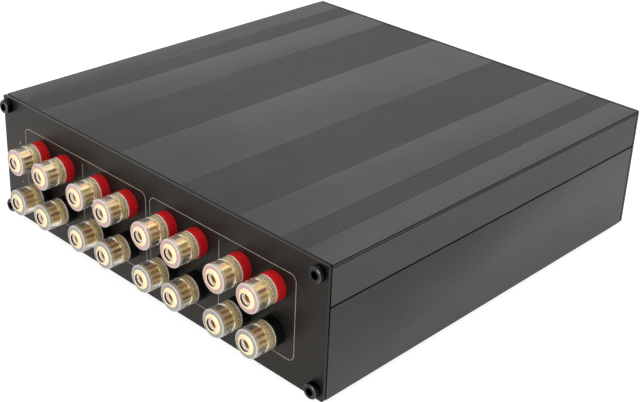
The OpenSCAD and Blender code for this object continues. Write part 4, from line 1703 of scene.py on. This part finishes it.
@dataclass
class Studio:
    """A pale floor, soft lights and the camera of the photograph.

    Attributes:
        camera_place: where the camera stands, in millimetres.
        azimuth: its direction round the object, in degrees.
        elevation: its height above the horizon, in degrees.
        roll: its turn about its own line of sight, in degrees.
        focal_pixels: its focal length in the photograph's pixels.
        drop: how far the photograph's frame lies below the line of sight, in its pixels.
        photo_width: the photograph's width in pixels.
        sensor: the camera's sensor width.
        nearest: the least distance that the camera sees, in metres.
        farthest: the greatest, in metres.
        floor_half: half the floor's width in metres.
        floor_glow: how brightly the floor shines of itself.
        surround: how brightly the white surround shines.
        lamps: a lamp high up, one beside the camera and one beyond the case.
    """

    camera_place: Triple = (335.8, -362.85, 271.1)
    azimuth: float = 42.926
    elevation: float = 25.027
    roll: float = 2.532
    focal_pixels: float = 1229.4
    drop: float = 60.0
    photo_width: float = 640.0
    sensor: float = 36.0
    nearest: float = 0.01
    farthest: float = 10.0
    floor_half: float = 6.0
    floor_glow: float = 0.85
    surround: float = 1.0
    lamps: tuple[Lamp, ...] = (
        Lamp("overhead", (-0.1, 0.35, 1.2), (0, 0, 0), size=1.0, power=6.0),
        Lamp("beside_camera", (0.3, -0.7, 0.5), (0, -0.1, 0.03), size=0.5, power=2.2),
        Lamp("beyond_left", (-0.9, 0.55, 0.6), (-0.05, 0, 0.06), size=0.6, power=0.7))

    def build(self) -> None:
        """Sets the camera, the floor and the lights."""
        self.camera()
        self.floor()
        self.lights()

    def camera(self) -> None:
        """The camera, from its place, its two angles and its roll."""
        data = bpy.data.cameras.new("photo_camera")
        data.sensor_width = self.sensor
        data.lens = self.focal_pixels / self.photo_width * self.sensor
        data.shift_y = -self.drop / self.photo_width
        data.clip_start, data.clip_end = self.nearest, self.farthest
        azimuth, elevation, roll = (math.radians(a) for a in (self.azimuth, self.elevation, self.roll))
        back = np.array([math.sin(azimuth) * math.cos(elevation), -math.cos(azimuth) * math.cos(elevation),
                         math.sin(elevation)])
        right = np.cross([0.0, 0.0, 1.0], back)
        right /= np.linalg.norm(right)
        up = np.cross(back, right)
        turned_right = math.cos(roll) * right + math.sin(roll) * up
        turned_up = math.cos(roll) * up - math.sin(roll) * right
        place = Matrix(np.column_stack([turned_right, turned_up, back]).tolist()).to_4x4()
        place.translation = [c * MM for c in self.camera_place]
        holder = placed("photo_camera", data)
        holder.matrix_world = place
        bpy.context.scene.camera = holder

    def floor(self) -> None:
        """A wide plain floor just under the feet."""
        mesh = bpy.data.meshes.new("studio_floor")
        half = self.floor_half
        corners = [(-half, -half, 0), (half, -half, 0), (half, half, 0), (-half, half, 0)]
        mesh.from_pydata(corners, [], [(0, 1, 2, 3)])
        floor = placed("studio_floor", mesh)
        n = Nodes("studio_floor")
        n.set(Base_Color=(0.3, 0.3, 0.3, 1), Roughness=0.9, Specular_IOR_Level=0.1,
              Emission_Color=(1, 1, 1, 1), Emission_Strength=self.floor_glow)
        mesh.materials.append(n.material)

    def lights(self) -> None:
        """An even white surround and the soft lamps."""
        world = bpy.data.worlds.new("studio_surround")
        world.use_nodes = True
        background = world.node_tree.nodes["Background"]
        background.inputs["Color"].default_value = (1, 1, 1, 1)
        background.inputs["Strength"].default_value = self.surround
        bpy.context.scene.world = world
        for lamp in self.lamps:
            lamp.hang()


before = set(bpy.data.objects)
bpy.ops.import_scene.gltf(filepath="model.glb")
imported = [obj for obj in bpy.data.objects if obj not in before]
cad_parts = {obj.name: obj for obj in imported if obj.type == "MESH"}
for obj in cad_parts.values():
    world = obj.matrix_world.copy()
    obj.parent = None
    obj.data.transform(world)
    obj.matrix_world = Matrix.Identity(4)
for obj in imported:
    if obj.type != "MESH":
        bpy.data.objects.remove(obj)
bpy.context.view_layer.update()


def main() -> None:
    """Builds the sub-assemblies in order."""
    logging.basicConfig(level=logging.INFO, format="%(message)s")
    bpy.context.scene.view_settings.view_transform = "Standard"
    paint = PaintShop()
    Studio().build()
    Enclosure(paint).build()
    PanelScrews(paint).build()
    BindingPosts(paint).build()
    Selectors(paint).build()
    Inside(paint).build()


if __name__ == "__main__":
    main()
